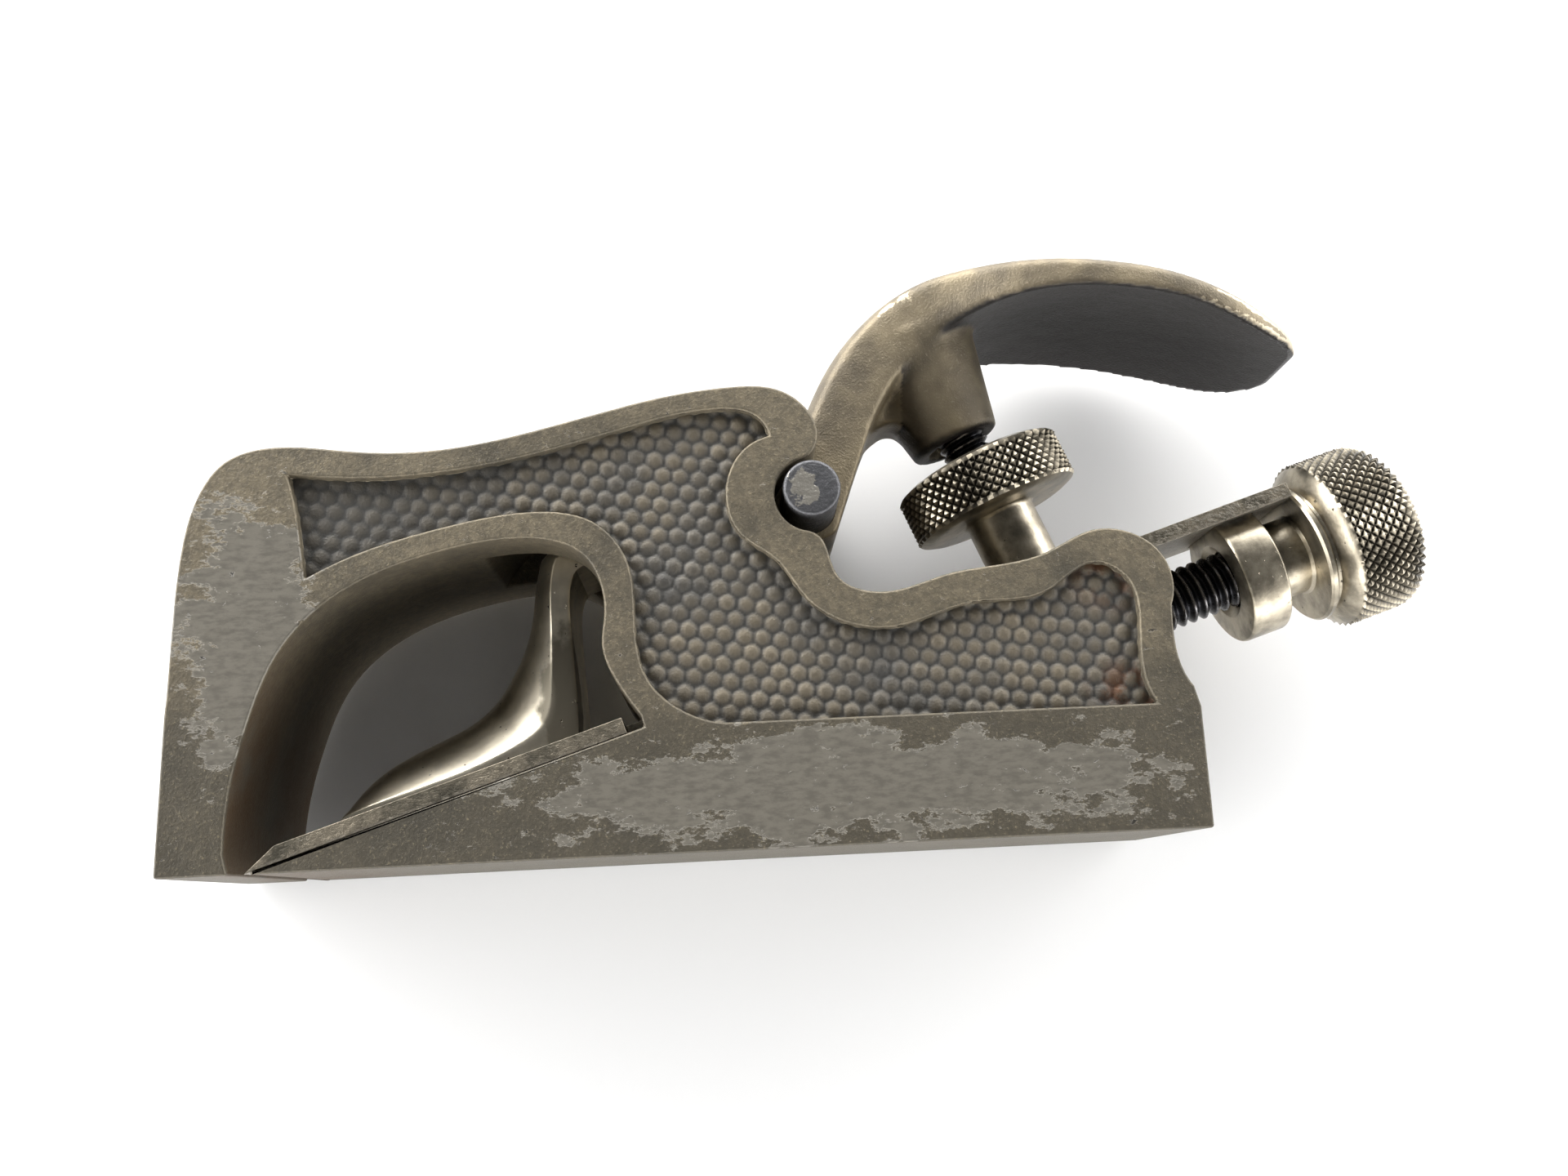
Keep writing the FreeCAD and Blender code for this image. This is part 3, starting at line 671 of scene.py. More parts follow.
@dataclass(frozen=True)
class PaleNickel:
    """Dull nickel of the knurled heads: dark in the grooves, dark grime in small pits, and painted shade
    darkening one place, the clamp screw's shank below its wheel.
    """

    name: str = "knurled_nickel"
    base: Colour = (0.45, 0.40, 0.31)
    # dark colour for grime in the pits, for the grooves, and for painted shade on the shank
    dirt_and_shade: Colour = (0.022, 0.019, 0.014)
    dull: Colour = (0.175, 0.155, 0.118)
    painted_shade_at: Vector = Vector((0.0, 0.0, -1.0))  # far from the piece, so no painted shade
    painted_shade_reach: float = 8.0    # mm
    cloud_size: float = 3.5      # sizes of the patterns, mm
    pit_size: float = 0.7
    fine_size: float = 0.22
    metallic: float = 0.95

    def dress(self) -> bpy.types.Material:
        """Build the material.

        Returns:
            The material.
        """
        graph = Graph(self.name)
        cloud = graph.noise(self.cloud_size, 5.0, 0.6, seed=31.0)
        pits = graph.step(graph.noise(self.pit_size, 4.0, 0.6, seed=32.0), 0.66, 0.73)
        colour = graph.mix(graph.step(cloud, 0.32, 0.66), self.dull, self.base)
        colour = graph.mix(graph.times(pits, 0.75), colour, self.dirt_and_shade)
        # painted shade: darker round one point, on the clamp wheel the shank in the wheel's shadow
        painted_shade = graph.step(graph.near(self.painted_shade_at, self.painted_shade_reach * MM), 0.05, 0.45)
        colour = graph.mix(graph.times(painted_shade, 0.1), colour, self.dirt_and_shade)
        colour = graph.mix(graph.attribute("groove"), colour, self.dirt_and_shade)
        fine = graph.noise(self.fine_size, 3.0, 0.6, seed=33.0)
        graph.bump((graph.less(1.0, pits), 0.04), (fine, 0.012), (cloud, 0.05))
        return graph.finish(colour, self.metallic, graph.blend(cloud, 0.24, 0.42))


@dataclass(frozen=True)
class OiledSteel:
    """Nearly black oiled steel of the screw threads."""

    name: str = "oiled_thread_steel"
    base: Colour = (0.014, 0.014, 0.016)
    crest: Colour = (0.26, 0.25, 0.25)
    grime_size: float = 0.8      # mm
    metallic: float = 0.9

    def dress(self) -> bpy.types.Material:
        """Build the material.

        Returns:
            The material.
        """
        graph = Graph(self.name)
        grime = graph.noise(self.grime_size, 4.0, 0.6, seed=41.0)
        crest = graph.less(1.0, graph.step(graph.attribute("groove"), 0.0, 0.35))
        colour = graph.mix(graph.times(crest, grime), self.base, self.crest)
        graph.bump((grime, 0.03))
        return graph.finish(colour, self.metallic, graph.blend(grime, 0.18, 0.38))


@dataclass(frozen=True)
class PinSteel:
    """Dark steel pin whose ends are worn bright in a ragged patch."""

    name: str = "cross_pin_steel"
    base: Colour = (0.075, 0.075, 0.079)
    worn: Colour = (0.34, 0.32, 0.28)
    cloud_size: float = 2.0      # sizes of the patterns, mm
    fine_size: float = 0.3
    worn_reach: float = 3.6      # mm
    metallic: float = 0.8

    def dress(self) -> bpy.types.Material:
        """Build the material.

        Returns:
            The material.
        """
        graph = Graph(self.name)
        cloud = graph.noise(self.cloud_size, 6.0, 0.65, seed=51.0)
        fine = graph.noise(self.fine_size, 4.0, 0.6, seed=52.0)
        patch_at = graph.near(from_pivot(-0.7, 0.1), self.worn_reach * MM, (1.0, 0.0, 0.8))
        ragged = graph.plus(graph.times(patch_at, 0.5), cloud)
        end_face = graph.step(graph.math("ABSOLUTE", graph.y), HALF_WIDTH, HALF_WIDTH + 0.3 * MM)
        patch = graph.times(graph.step(ragged, 0.80, 0.84), end_face)
        colour = graph.mix(patch, self.base, self.worn)
        graph.bump((cloud, 0.25), (fine, 0.03))
        return graph.finish(colour, self.metallic, graph.blend(patch, graph.blend(fine, 0.34, 0.6), 0.3))


@dataclass(frozen=True)
class BladeSteel:
    """Ground cutter steel: brownish grey, rough along its thin sides, bright at the burrs."""

    name: str = "cutter_steel"
    base: Colour = (0.205, 0.178, 0.134)
    shade: Colour = (0.072, 0.065, 0.050)
    bright: Colour = (0.20, 0.18, 0.145)
    cloud_size: float = 3.0      # sizes of the patterns, mm
    grain_size: float = 0.35
    ragged_size: float = 0.8
    burr: Point2 = (0.42, 0.12)  # the burr fades out and in at these heights over the bed, mm
    metallic: float = 0.85

    def dress(self) -> bpy.types.Material:
        """Build the material.

        Returns:
            The material.
        """
        graph = Graph(self.name)
        cloud = graph.noise(self.cloud_size, 5.0, 0.65, seed=61.0)
        grain = graph.noise(self.grain_size, 4.0, 0.7, (0.6, 1.0, 1.0), 62.0)
        tail = graph.step(graph.x, BODY_HIGH.x - 8 * MM, BODY_HIGH.x)
        colour = graph.mix(graph.step(cloud, 0.35, 0.65), self.shade, self.base)
        glint = graph.step(graph.plus(grain, graph.times(tail, 0.16)), 0.62, 0.74)
        colour = graph.mix(glint, colour, self.bright)
        above = graph.less(graph.z, graph.times(graph.x, SLOPE))
        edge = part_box("cutter_blade")[0]
        foot = edge.z - edge.x * SLOPE
        burr = graph.step(above, *(foot + height * MM for height in self.burr))
        ragged = graph.step(graph.noise(self.ragged_size, 5.0, 0.6, seed=64.0), 0.40, 0.55)
        rough_edge = graph.times(graph.times(burr, ragged), 0.85)
        colour = graph.mix(rough_edge, colour, self.bright)
        graph.bump((grain, 0.10), (cloud, 0.12))
        return graph.finish(colour, self.metallic, graph.blend(grain, 0.30, 0.55))


@dataclass(frozen=True)
class PaleStage:
    """Matt white that is seen only from its front and lets light through to what is behind."""

    name: str
    shade: float = 0.86
    rough: float = 0.9

    def dress(self) -> bpy.types.Material:
        """Build the material.

        Returns:
            The material.
        """
        graph = Graph(self.name)
        path = graph.nodes.new("ShaderNodeLightPath")
        back = graph.nodes.new("ShaderNodeNewGeometry").outputs["Backfacing"]
        clear = graph.nodes.new("ShaderNodeBsdfTransparent")
        choose = graph.nodes.new("ShaderNodeMixShader")
        hidden = graph.larger(back, path.outputs["Is Shadow Ray"])
        graph.links.new(hidden, choose.inputs[0])
        graph.links.new(graph.shader.outputs[0], choose.inputs[1])
        graph.links.new(clear.outputs[0], choose.inputs[2])
        graph.links.new(choose.outputs[0], graph.nodes["Material Output"].inputs["Surface"])
        return graph.finish((self.shade, self.shade, self.shade), 0.0, self.rough)


# ------------------------------------------------------------------ turned work
@dataclass
class Lathe:
    """A piece turned about its own axis, drawn upright in millimetres and then put in place."""

    name: str
    origin: Vector
    axis: Vector
    steps: int = 96
    bm: bmesh.types.BMesh = field(default_factory=bmesh.new)
    section: list[Point2] = field(default_factory=list)

    def spin(self, section: Sequence[Point2]) -> None:
        """Spin a half section into a closed solid.

        Args:
            section: radius and height in millimetres, from the axis round to the axis.
        """
        self.section = list(section)
        verts = [self.bm.verts.new((radius, 0.0, height)) for radius, height in section]
        edges = [self.bm.edges.new(pair) for pair in zip(verts, verts[1:])]
        bmesh.ops.spin(self.bm, geom=verts + edges, cent=(0, 0, 0), axis=(0, 0, 1),
                       angle=math.tau, steps=self.steps, use_merge=True)
        bmesh.ops.remove_doubles(self.bm, verts=self.bm.verts, dist=1e-4)
        bmesh.ops.recalc_face_normals(self.bm, faces=self.bm.faces)

    def row_of(self, vert: bmesh.types.BMVert) -> int:
        """Number of the section's point that a vertex was spun from.

        Args:
            vert: a vertex of the turned mesh.

        Returns:
            The point's number in the section.
        """
        place = (math.hypot(vert.co.x, vert.co.y), vert.co.z)
        return min(range(len(self.section)), key=lambda row: math.dist(self.section[row], place))

    def knurl(self, first: int, last: int, depth: float, flat: float) -> None:
        """Cut a diamond knurl between two rows of the section.

        The vertices are the peaks and the crossings of the grooves in turn, and each face
        gets a middle vertex at the foot of its groove.

        Args:
            first: row where the knurl starts.
            last: row where it ends.
            depth: depth of the grooves in millimetres.
            flat: width taken off each peak in millimetres.
        """
        groove = self.bm.verts.layers.float.new("groove")
        rows = {vert: self.row_of(vert) for vert in self.bm.verts}
        band = [face for face in self.bm.faces
                if all(first <= rows[vert] <= last for vert in face.verts) and len(face.verts) == 4]
        self.bm.normal_update()
        inward = {}
        peaks = []
        for vert in {vert for face in band for vert in face.verts}:
            column = round(math.atan2(vert.co.y, vert.co.x) / math.tau * self.steps)
            if (column + rows[vert]) % 2:
                peaks.append(vert)
            else:
                inward[vert] = vert.normal.copy()
        for vert in bmesh.ops.poke(self.bm, faces=band)["verts"]:
            inward[vert] = vert.co.normalized() if vert.normal.length < 0.5 else vert.normal.copy()
        for vert, normal in inward.items():
            vert.co -= normal * depth
            vert[groove] = 1.0
        inner_peaks = [vert for vert in peaks if first < rows[vert] < last]
        bmesh.ops.bevel(self.bm, geom=inner_peaks, offset=flat, offset_type="OFFSET", affect="VERTICES",
                        segments=1, profile=0.5, material=-1, clamp_overlap=True)

    def thread(self, low: float, high: float, pitch: float, depth: float) -> None:
        """Cut a screw thread into the rows between two heights.

        Args:
            low: height where the thread starts, in millimetres.
            high: height where it ends.
            pitch: rise of one turn.
            depth: depth of the groove.
        """
        groove = self.bm.verts.layers.float.new("groove")
        for vert in self.bm.verts:
            radius = math.hypot(vert.co.x, vert.co.y)
            if not low < vert.co.z < high or radius < 1e-3:
                continue
            turn = vert.co.z / pitch - math.atan2(vert.co.y, vert.co.x) / math.tau
            away = abs(2.0 * (turn - math.floor(turn)) - 1.0)
            cut = min(1.0, max(0.0, THREAD_STEEPNESS * away - THREAD_CREST))
            vert[groove] = cut
            vert.co.x *= 1.0 - cut * depth / radius
            vert.co.y *= 1.0 - cut * depth / radius

    def place(self) -> bmesh.types.BMesh:
        """Put the piece on its axis in the plane's frame.

        Returns:
            The mesh, in metres.
        """
        lean = Vector((0, 0, 1)).rotation_difference(self.axis).to_matrix().to_4x4()
        matrix = Matrix.Translation(self.origin) @ lean @ Matrix.Scale(MM, 4)
        bmesh.ops.transform(self.bm, matrix=matrix, verts=self.bm.verts)
        return self.bm

    def piece(self, sharp: float = 30.0) -> bpy.types.Object:
        """Put the piece on its axis and make it an object.

        Args:
            sharp: edges that turn by more than this many degrees stay sharp.

        Returns:
            The object.
        """
        return new_piece(self.name, self.place(), sharp)


def arc(centre: Point2, radius: float, start: float, end: float, steps: int) -> list[Point2]:
    """Points of an arc in a half section.

    Args:
        centre: its centre, radius and height.
        radius: its own radius.
        start: first angle in degrees, from straight out.
        end: last angle.
        steps: number of chords.

    Returns:
        The arc's points.
    """
    turns = [math.radians(start + (end - start) * step / steps) for step in range(steps + 1)]
    return [(centre[0] + radius * math.cos(turn), centre[1] + radius * math.sin(turn)) for turn in turns]


def straight(start: Point2, end: Point2, steps: int) -> list[Point2]:
    """Evenly spaced points of a straight line, both ends included.

    Args:
        start: radius and height of the first point, mm.
        end: radius and height of the last point, mm.
        steps: number of parts.

    Returns:
        The points, from start to end.
    """
    return [(start[0] + (end[0] - start[0]) * step / steps, start[1] + (end[1] - start[1]) * step / steps)
            for step in range(steps + 1)]


def reach_along(node: str, origin: Vector, axis: Vector) -> tuple[float, float, float]:
    """How far a CAD node reaches about an axis.

    Args:
        node: the CAD node.
        origin: point on the axis.
        axis: unit vector.

    Returns:
        Its lowest and highest height along the axis and its radius, in millimetres.
    """
    heights, radii = [], []
    for vert in frame["nodes"][node].data.vertices:
        offset = vert.co - origin
        height = offset.dot(axis)
        heights.append(height / MM)
        radii.append((offset - axis * height).length / MM)
    return min(heights), max(heights), max(radii)


# ------------------------------------------------------------------ assemblies
@dataclass
class BodyCasting:
    """The cast body and the bumps of its two sunk panels."""

    edge: float = 0.28          # rounding of the casting's edges, mm
    sink: float = 1.2           # depth of the panels, mm
    pitch: float = 1.85         # distance between neighbouring bumps, mm
    height: float = 0.40        # height of a bump, mm
    lift: float = 0.03          # height of the skin's lowest places over the CAD floor, mm
    bedding: float = 0.15       # depth of the skin's back under the CAD floor, mm
    cell: float = 0.22          # size of the bump surface's faces, mm
    margin: float = 0.3         # the skin runs on this far past the floor's outline, mm
    lean: float = 66.0          # steep rows run down to the rear at this angle, degrees
    dip: float = 9.0            # and the long rows at this one
    stray: float = 0.1          # how far a bump strays from its place, mm
    spread: float = 0.62        # radius of a bump, as a share of the pitch
    fullness: float = 1.3       # 1 is a parabola, more is more pointed
    lowest: float = 0.72        # height of the lowest bump, as a share of the highest
    calm: float = 0.55          # height of the bumps near the toe, as a share of the others
    calm_end: float = 22.0      # where the bumps start to grow, from the toe, mm
    calm_fade: float = 16.0     # length over which they grow, mm

    def build(self) -> list[bpy.types.Object]:
        """Build and dress the casting and its panels.

        Returns:
            The three pieces.
        """
        casting = new_piece("body_casting_cast", casting_copy("body_casting", self.edge * MM))
        weigh_normals(casting)
        dress(casting, BodyIron().dress())
        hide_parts("body_casting")
        pieces = [casting]
        finish = PanelIron().dress()
        for side in Side:
            panel = self.panel(side)
            dress(panel, finish)
            pieces.append(panel)
        for piece in pieces:
            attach(piece, "plane_body")
        return pieces

    def bump_at(self, x: float, z: float) -> float:
        """Height of the bump surface, from 0 to 1.

        Args:
            x: place along the sole in millimetres.
            z: height in millimetres.

        Returns:
            1 on a bump's top and 0 in the deepest corner between bumps.
        """
        rows = Matrix([[self.pitch * math.cos(math.radians(angle)) for angle in (self.dip, self.lean)],
                       [-self.pitch * math.sin(math.radians(angle)) for angle in (self.dip, self.lean)]])
        here = Vector((x, z))
        near = rows.inverted() @ here
        best = 0.0
        for i in range(math.floor(near.x), math.floor(near.x) + 2):
            for j in range(math.floor(near.y), math.floor(near.y) + 2):
                chance = random.Random(i * 7919 + j * 104729)
                stray = Vector([chance.uniform(-self.stray, self.stray) for _ in range(2)])
                away = (here - rows @ Vector((i, j)) - stray).length / (self.spread * self.pitch)
                dome = max(0.0, 1.0 - away * away) ** self.fullness
                best = max(best, chance.uniform(self.lowest, 1.0) * dome)
        return best

    def panel(self, side: Side) -> bpy.types.Object:
        """Build the bumps of one sunk panel as a thin closed skin on its floor.

        Args:
            side: the side of the plane.

        Returns:
            The skin.
        """
        floor = HALF_WIDTH - self.sink * MM
        tree = BVHTree.FromPolygons(*self.floor_faces(side, floor))
        low, size = BODY_LOW, BODY_HIGH - BODY_LOW
        columns = int(size.x / MM / self.cell)
        rows = int(size.z / MM / self.cell)
        bm = bmesh.new()
        bmesh.ops.create_grid(bm, x_segments=columns, y_segments=rows, size=0.5)
        layer = bm.verts.layers.float.new("height")
        margin = self.margin * MM
        inward = Vector((0, -side.value, 0))
        outside = []
        for vert in bm.verts:
            x = low.x + (vert.co.x + 0.5) * size.x
            z = low.z + (vert.co.y + 0.5) * size.z
            vert.co = Vector((x, side.value * floor, z))
            hits = [tree.ray_cast(Vector((x + dx, side.value * (floor + MM), z + dz)), inward)[0]
                    for dx, dz in ((0, 0), (margin, 0), (-margin, 0), (0, margin), (0, -margin))]
            if not any(hits):
                outside.append(vert)
                continue
            grown = min(1.0, max(0.0, ((x - low.x) / MM - self.calm_end) / self.calm_fade))
            fade = self.calm + (1.0 - self.calm) * grown
            vert[layer] = self.bump_at(x / MM, z / MM)
            vert.co.y += side.value * MM * (self.lift + fade * self.height * vert[layer])
        bmesh.ops.delete(bm, geom=outside, context="VERTS")
        loose = [vert for vert in bm.verts if not vert.link_faces]
        bmesh.ops.delete(bm, geom=loose, context="VERTS")
        skirt = bmesh.ops.extrude_face_region(bm, geom=list(bm.faces), use_keep_orig=True)
        back = [item for item in skirt["geom"] if isinstance(item, bmesh.types.BMVert)]
        for vert in back:
            vert.co.y = side.value * (floor - self.bedding * MM)
        bmesh.ops.recalc_face_normals(bm, faces=bm.faces)
        return new_piece("panel_bumps_" + side.name.lower(), bm, 60.0)

    def floor_faces(self, side: Side, floor: float) -> tuple[list[Vector], list[tuple[int, ...]]]:
        """Triangles of a panel's floor in the CAD body.

        Args:
            side: the side of the plane.
            floor: distance of the floor from the middle plane, in metres.

        Returns:
            The CAD body's points, and the floor's triangles as their numbers.
        """
        mesh = frame["nodes"]["body_casting"].data
        points = [vert.co.copy() for vert in mesh.vertices]
        faces = [tuple(face.vertices) for face in mesh.polygons
                 if all(abs(points[vert].y - side.value * floor) < 1e-5 for vert in face.vertices)]
        return points, faces


@dataclass(frozen=True)
class Station:
    """One cross-section of the lever cap, square to the side view.

    crown and foot are its highest and lowest points there, from the pin in millimetres. The
    side runs from the foot up to the ridge, and the dome from the ridge over the crown.
    """

    crown: Point2
    foot: Point2
    half: float                  # half its width, mm
    drop: float = 0.25           # crown to ridge, as a share of crown to foot
    fullness: float = 2.8        # 2 is round, more is flatter with tighter shoulders
    reach: float = 1.0           # 1 ends the dome upright, less ends it in a ridge
    hollow: float = 0.0          # rise of the underside's middle, mm
    hem: float = 0.12            # foot to the side's lowest point, as a share of foot to ridge
    tuck: float = 0.985          # width of the lower edge, as a share of the section's

    def ring(self, arcs: int) -> list[Vector]:
        """Points round the section.

        Args:
            arcs: steps from the crown to each ridge.

        Returns:
            The points in metres, from the near ridge over the crown and back below.
        """
        crown, foot = Vector(self.crown), Vector(self.foot)
        ridge = crown.lerp(foot, self.drop)
        up = (crown - foot).normalized()
        low = (1.0 - self.reach) ** (1.0 / self.fullness)
        points = []
        for step in range(-arcs, arcs + 1):
            across = math.sin(math.pi / 2 * step / arcs)
            rise = (1.0 - self.reach * abs(across) ** self.fullness) ** (1.0 / self.fullness)
            place = ridge.lerp(crown, (rise - low) / (1.0 - low))
            points.append(from_pivot(place.x, place.y, self.half * across))
        side = foot.lerp(ridge, self.hem)
        points.append(from_pivot(side.x, side.y, self.half))
        for across in UNDERSIDE:
            place = foot + up * self.hollow * (1.0 - across * across)
            width = self.half * (self.tuck if abs(across) == 1.0 else 1.0)
            points.append(from_pivot(place.x, place.y, width * across))
        points.append(from_pivot(side.x, side.y, -self.half))
        return points


@dataclass
class LeverCap:
    """Lever cap: domed boot, arm, palm rest, and the boss of the clamp screw."""

    half: float = 7.05          # half the arm's width, mm
    toe: float = -48.5          # boot's toe from the pin, mm
    arcs: int = 5
    voxel: float = 0.36         # grain of the joined casting's mesh, mm
    hole: float = 2.98          # radius of the pin's eye, mm
    boss_low: float = 5.1       # radius of the boss's rim, mm
    boss_high: float = 7.2      # radius where it meets the palm, mm
    rim: float = 6.0            # middle of the clamp wheel to the boss's rim, mm
    boss_height: float = 12.5
    web_half: float = 3.4       # half the web's thickness, mm
    crease_from: float = 24.0   # edges that turn by more than this are held crisp, degrees
    crease: float = 0.45
    corner_rounds: int = 9      # smoothing of the boss's inner corner
    skin_rounds: int = 2        # and of the whole skin

    def build(self) -> list[bpy.types.Object]:
        """Build and dress the lever cap.

        Returns:
            The boot and the casting behind it.
        """
        boot = new_piece("lever_boot", self.loft(self.boot_stations()), 40.0)
        smooth = boot.modifiers.new("smooth", "SUBSURF")
        smooth.levels = smooth.render_levels = 2
        dress(boot, BrightNickel().dress())
        casting = self.casting()
        dress(casting, LeverIron().dress())
        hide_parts("lever_cap")
        for piece in (boot, casting):
            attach(piece, "lever")
        return [boot, casting]

    def boot_stations(self) -> list[Station]:
        """Sections of the boot from its toe up to the cheeks.

        Returns:
            The sections, from the toe back.
        """
        low = (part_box("lever_cap")[0].z - PIVOT.z) / MM

        def on_blade(dx: float) -> Point2:
            """Point of the boot's underside, just clear of the cutter.

            Args:
                dx: millimetres behind the pin.

            Returns:
                The point, in millimetres from the pin.
            """
            return (dx, low + 0.02 + (dx - self.toe) * SLOPE)

        def section(crown: Point2, foot: Point2, drop: float) -> Station:
            """Section of the boot at its full width.

            Args:
                crown: its highest point, from the pin, mm.
                foot: its lowest point, from the pin, mm.
                drop: crown to ridge, as a share of crown to foot.

            Returns:
                The section.
            """
            return Station(crown, foot, self.half, drop, 2.0, 0.45)

        return [
            section((-48.9, -30.3), (self.toe, on_blade(self.toe)[1]), 0.45),
            section((-48.6, -29.2), on_blade(-48.0), 0.5),
            section((-47.5, -27.2), on_blade(-46.6), 0.66),
            section((-45.2, -24.9), on_blade(-44.2), 0.74),
            section((-40.6, -22.6), on_blade(-39.6), 0.80),
            section((-36.5, -20.9), on_blade(-34.4), 0.80),
            section((-33.8, -18.6), on_blade(-28.0), 0.74),
            section((-32.5, -16.4), on_blade(-24.6), 0.66),
            section((-31.3, -14.2), (-24.6, -19.6), 0.60),
            section((-30.4, -12.0), (-24.9, -16.0), 0.58),
            section((-29.8, -9.4), (-25.2, -11.4), 0.56),
            section((-29.6, -6.6), (-25.4, -8.0), 0.55),
            section((-28.9, -3.4), (-24.6, -5.7), 0.50),
            section((-26.4, -0.9), (-21.8, -4.7), 0.45),
            section((-21.6, 0.9), (-18.0, -4.4), 0.35),
            Station((-15.5, 1.9), (-14.5, -3.8), self.half - 0.3, 0.3),
        ]

    def arm_stations(self) -> list[Station]:
        """Sections of the arm and the palm rest, from inside the cheeks to the palm's tip.

        Returns:
            The sections, from the cheeks back.
        """
        arm = [((-19.5, 1.4), (-18.0, -4.7)), ((-15.0, 2.4), (-13.0, -4.3)), ((-7.5, 4.0), (-6.0, -4.6)),
               ((-3.2, 6.6), (0.0, -4.05)), ((-0.9, 9.2), (2.9, -2.9)), ((0.6, 11.8), (4.0, 0.3)),
               ((1.9, 14.8), (5.5, 4.2)), ((4.0, 18.2), (7.1, 8.7)), ((7.2, 21.8), (9.5, 13.2)),
               ((10.6, 24.4), (12.2, 16.6))]
        sections = [Station(crown, foot, self.half, 0.27, 2.6) for crown, foot in arm]
        palm = [((14.0, 26.0), (15.4, 19.0), 7.4, 0.3, 0.2), ((18.2, 26.7), (18.8, 20.5), 9.2, 0.8, 0.33),
                ((23.8, 26.6), (23.8, 21.7), 11.7, 1.4, 0.38), ((30.5, 26.0), (30.5, 21.9), 12.7, 1.6, 0.40),
                ((37.0, 24.9), (36.8, 21.0), 12.98, 1.6, 0.42),
                ((41.5, 23.6), (41.1, 20.0), 12.85, 1.5, 0.43),
                ((45.8, 22.0), (45.0, 18.6), 12.1, 1.3, 0.44), ((49.6, 20.2), (48.9, 16.9), 10.7, 0.9, 0.46),
                ((52.6, 18.6), (52.0, 16.0), 8.8, 0.5, 0.48), ((54.4, 17.5), (53.9, 15.7), 6.8, 0.2, 0.5),
                ((55.4, 16.8), (55.0, 15.6), 4.6, 0.0, 0.5)]
        return sections + [Station(crown, foot, half, drop, 2.3, 1.0, hollow)
                           for crown, foot, half, hollow, drop in palm]

    def loft(self, stations: Sequence[Station]) -> bmesh.types.BMesh:
        """Bridge a row of sections into a closed skin.

        Args:
            stations: the sections in order.

        Returns:
            The skin, with its lower edges held crisp.
        """
        bm = bmesh.new()
        crease = bm.edges.layers.float.new("crease_edge")
        last: list[bmesh.types.BMEdge] = []
        for station in stations:
            verts = [bm.verts.new(point) for point in station.ring(self.arcs)]
            edges = [bm.edges.new(pair) for pair in zip(verts, verts[1:] + verts[:1])]
            if last:
                bmesh.ops.bridge_loops(bm, edges=last + edges)
            else:
                bmesh.ops.contextual_create(bm, geom=edges)
            last = edges
        bmesh.ops.contextual_create(bm, geom=last)
        bmesh.ops.recalc_face_normals(bm, faces=bm.faces)
        for edge in bm.edges:
            if edge.calc_face_angle(0.0) > math.radians(self.crease_from):
                edge[crease] = self.crease
        return bm

    def casting(self) -> bpy.types.Object:
        """Join the arm, palm, boss and web into one casting with soft inner corners.

        Returns:
            The casting.
        """
        arm = new_piece("arm_shape", self.loft(self.arm_stations()))
        smooth = arm.modifiers.new("smooth", "SUBSURF")
        smooth.levels = smooth.render_levels = 3
        bm = baked(arm)
        for part in (self.boss(), self.web()):
            mesh = bpy.data.meshes.new("part")
            part.to_mesh(mesh)
            part.free()
            bm.from_mesh(mesh)
        joined = new_piece("lever_shape", bm)
        remesh = joined.modifiers.new("one_skin", "REMESH")
        remesh.mode = "VOXEL"
        remesh.voxel_size = self.voxel * MM
        bm = baked(joined)
        axis = joint_axis("clamp_spin")
        middle = joint_place("clamp_spin")
        corner = [vert for vert in bm.verts if self.by_boss(vert.co - middle, axis)]
        for verts, factor, rounds in ((corner, 0.5, self.corner_rounds), (bm.verts, 0.4, self.skin_rounds)):
            for _ in range(rounds):
                bmesh.ops.smooth_vert(bm, verts=verts, factor=factor,
                                      use_axis_x=True, use_axis_y=True, use_axis_z=True)
        shape = new_piece("lever_shape", bm)
        cutter = self.eye_cutter()
        cut = shape.modifiers.new("eye", "BOOLEAN")
        cut.operation = "DIFFERENCE"
        cut.solver = "EXACT"
        cut.object = cutter
        bm = baked(shape)
        bpy.data.objects.remove(cutter)
        self.mark(bm)
        return new_piece("lever_casting", bm, 50.0)

    def by_boss(self, offset: Vector, axis: Vector) -> bool:
        """Whether a point from the clamp wheel's middle lies where the boss joins the arm.

        Args:
            offset: the point, from the clamp wheel's middle.
            axis: the clamp screw's axis.

        Returns:
            True where the corner is to be smoothed.
        """
        height = offset.dot(axis)
        around = (offset - axis * height).length
        return self.rim + 0.8 < height / MM < self.rim + 13.0 and around < 12.5 * MM and offset.z < 19.0 * MM

    def boss(self) -> bmesh.types.BMesh:
        """Conical boss with the mouth of its tapped hole.

        Returns:
            The boss's mesh.
        """
        top = self.rim + self.boss_height
        lathe = Lathe("boss_shape", joint_place("clamp_spin") + Vector((-0.7 * MM, 0, -0.28 * MM)),
                      joint_axis("clamp_spin"), 48)
        lathe.spin([(0, top), (self.boss_high + 0.3, top), (self.boss_low + 0.45, self.rim + 3.0)]
                   + arc((self.boss_low - 0.7, self.rim + 0.7), 0.7, 0, -90, 4)
                   + [(3.3, self.rim), (3.3, self.rim + 2.5), (0, self.rim + 2.5)])
        return lathe.place()

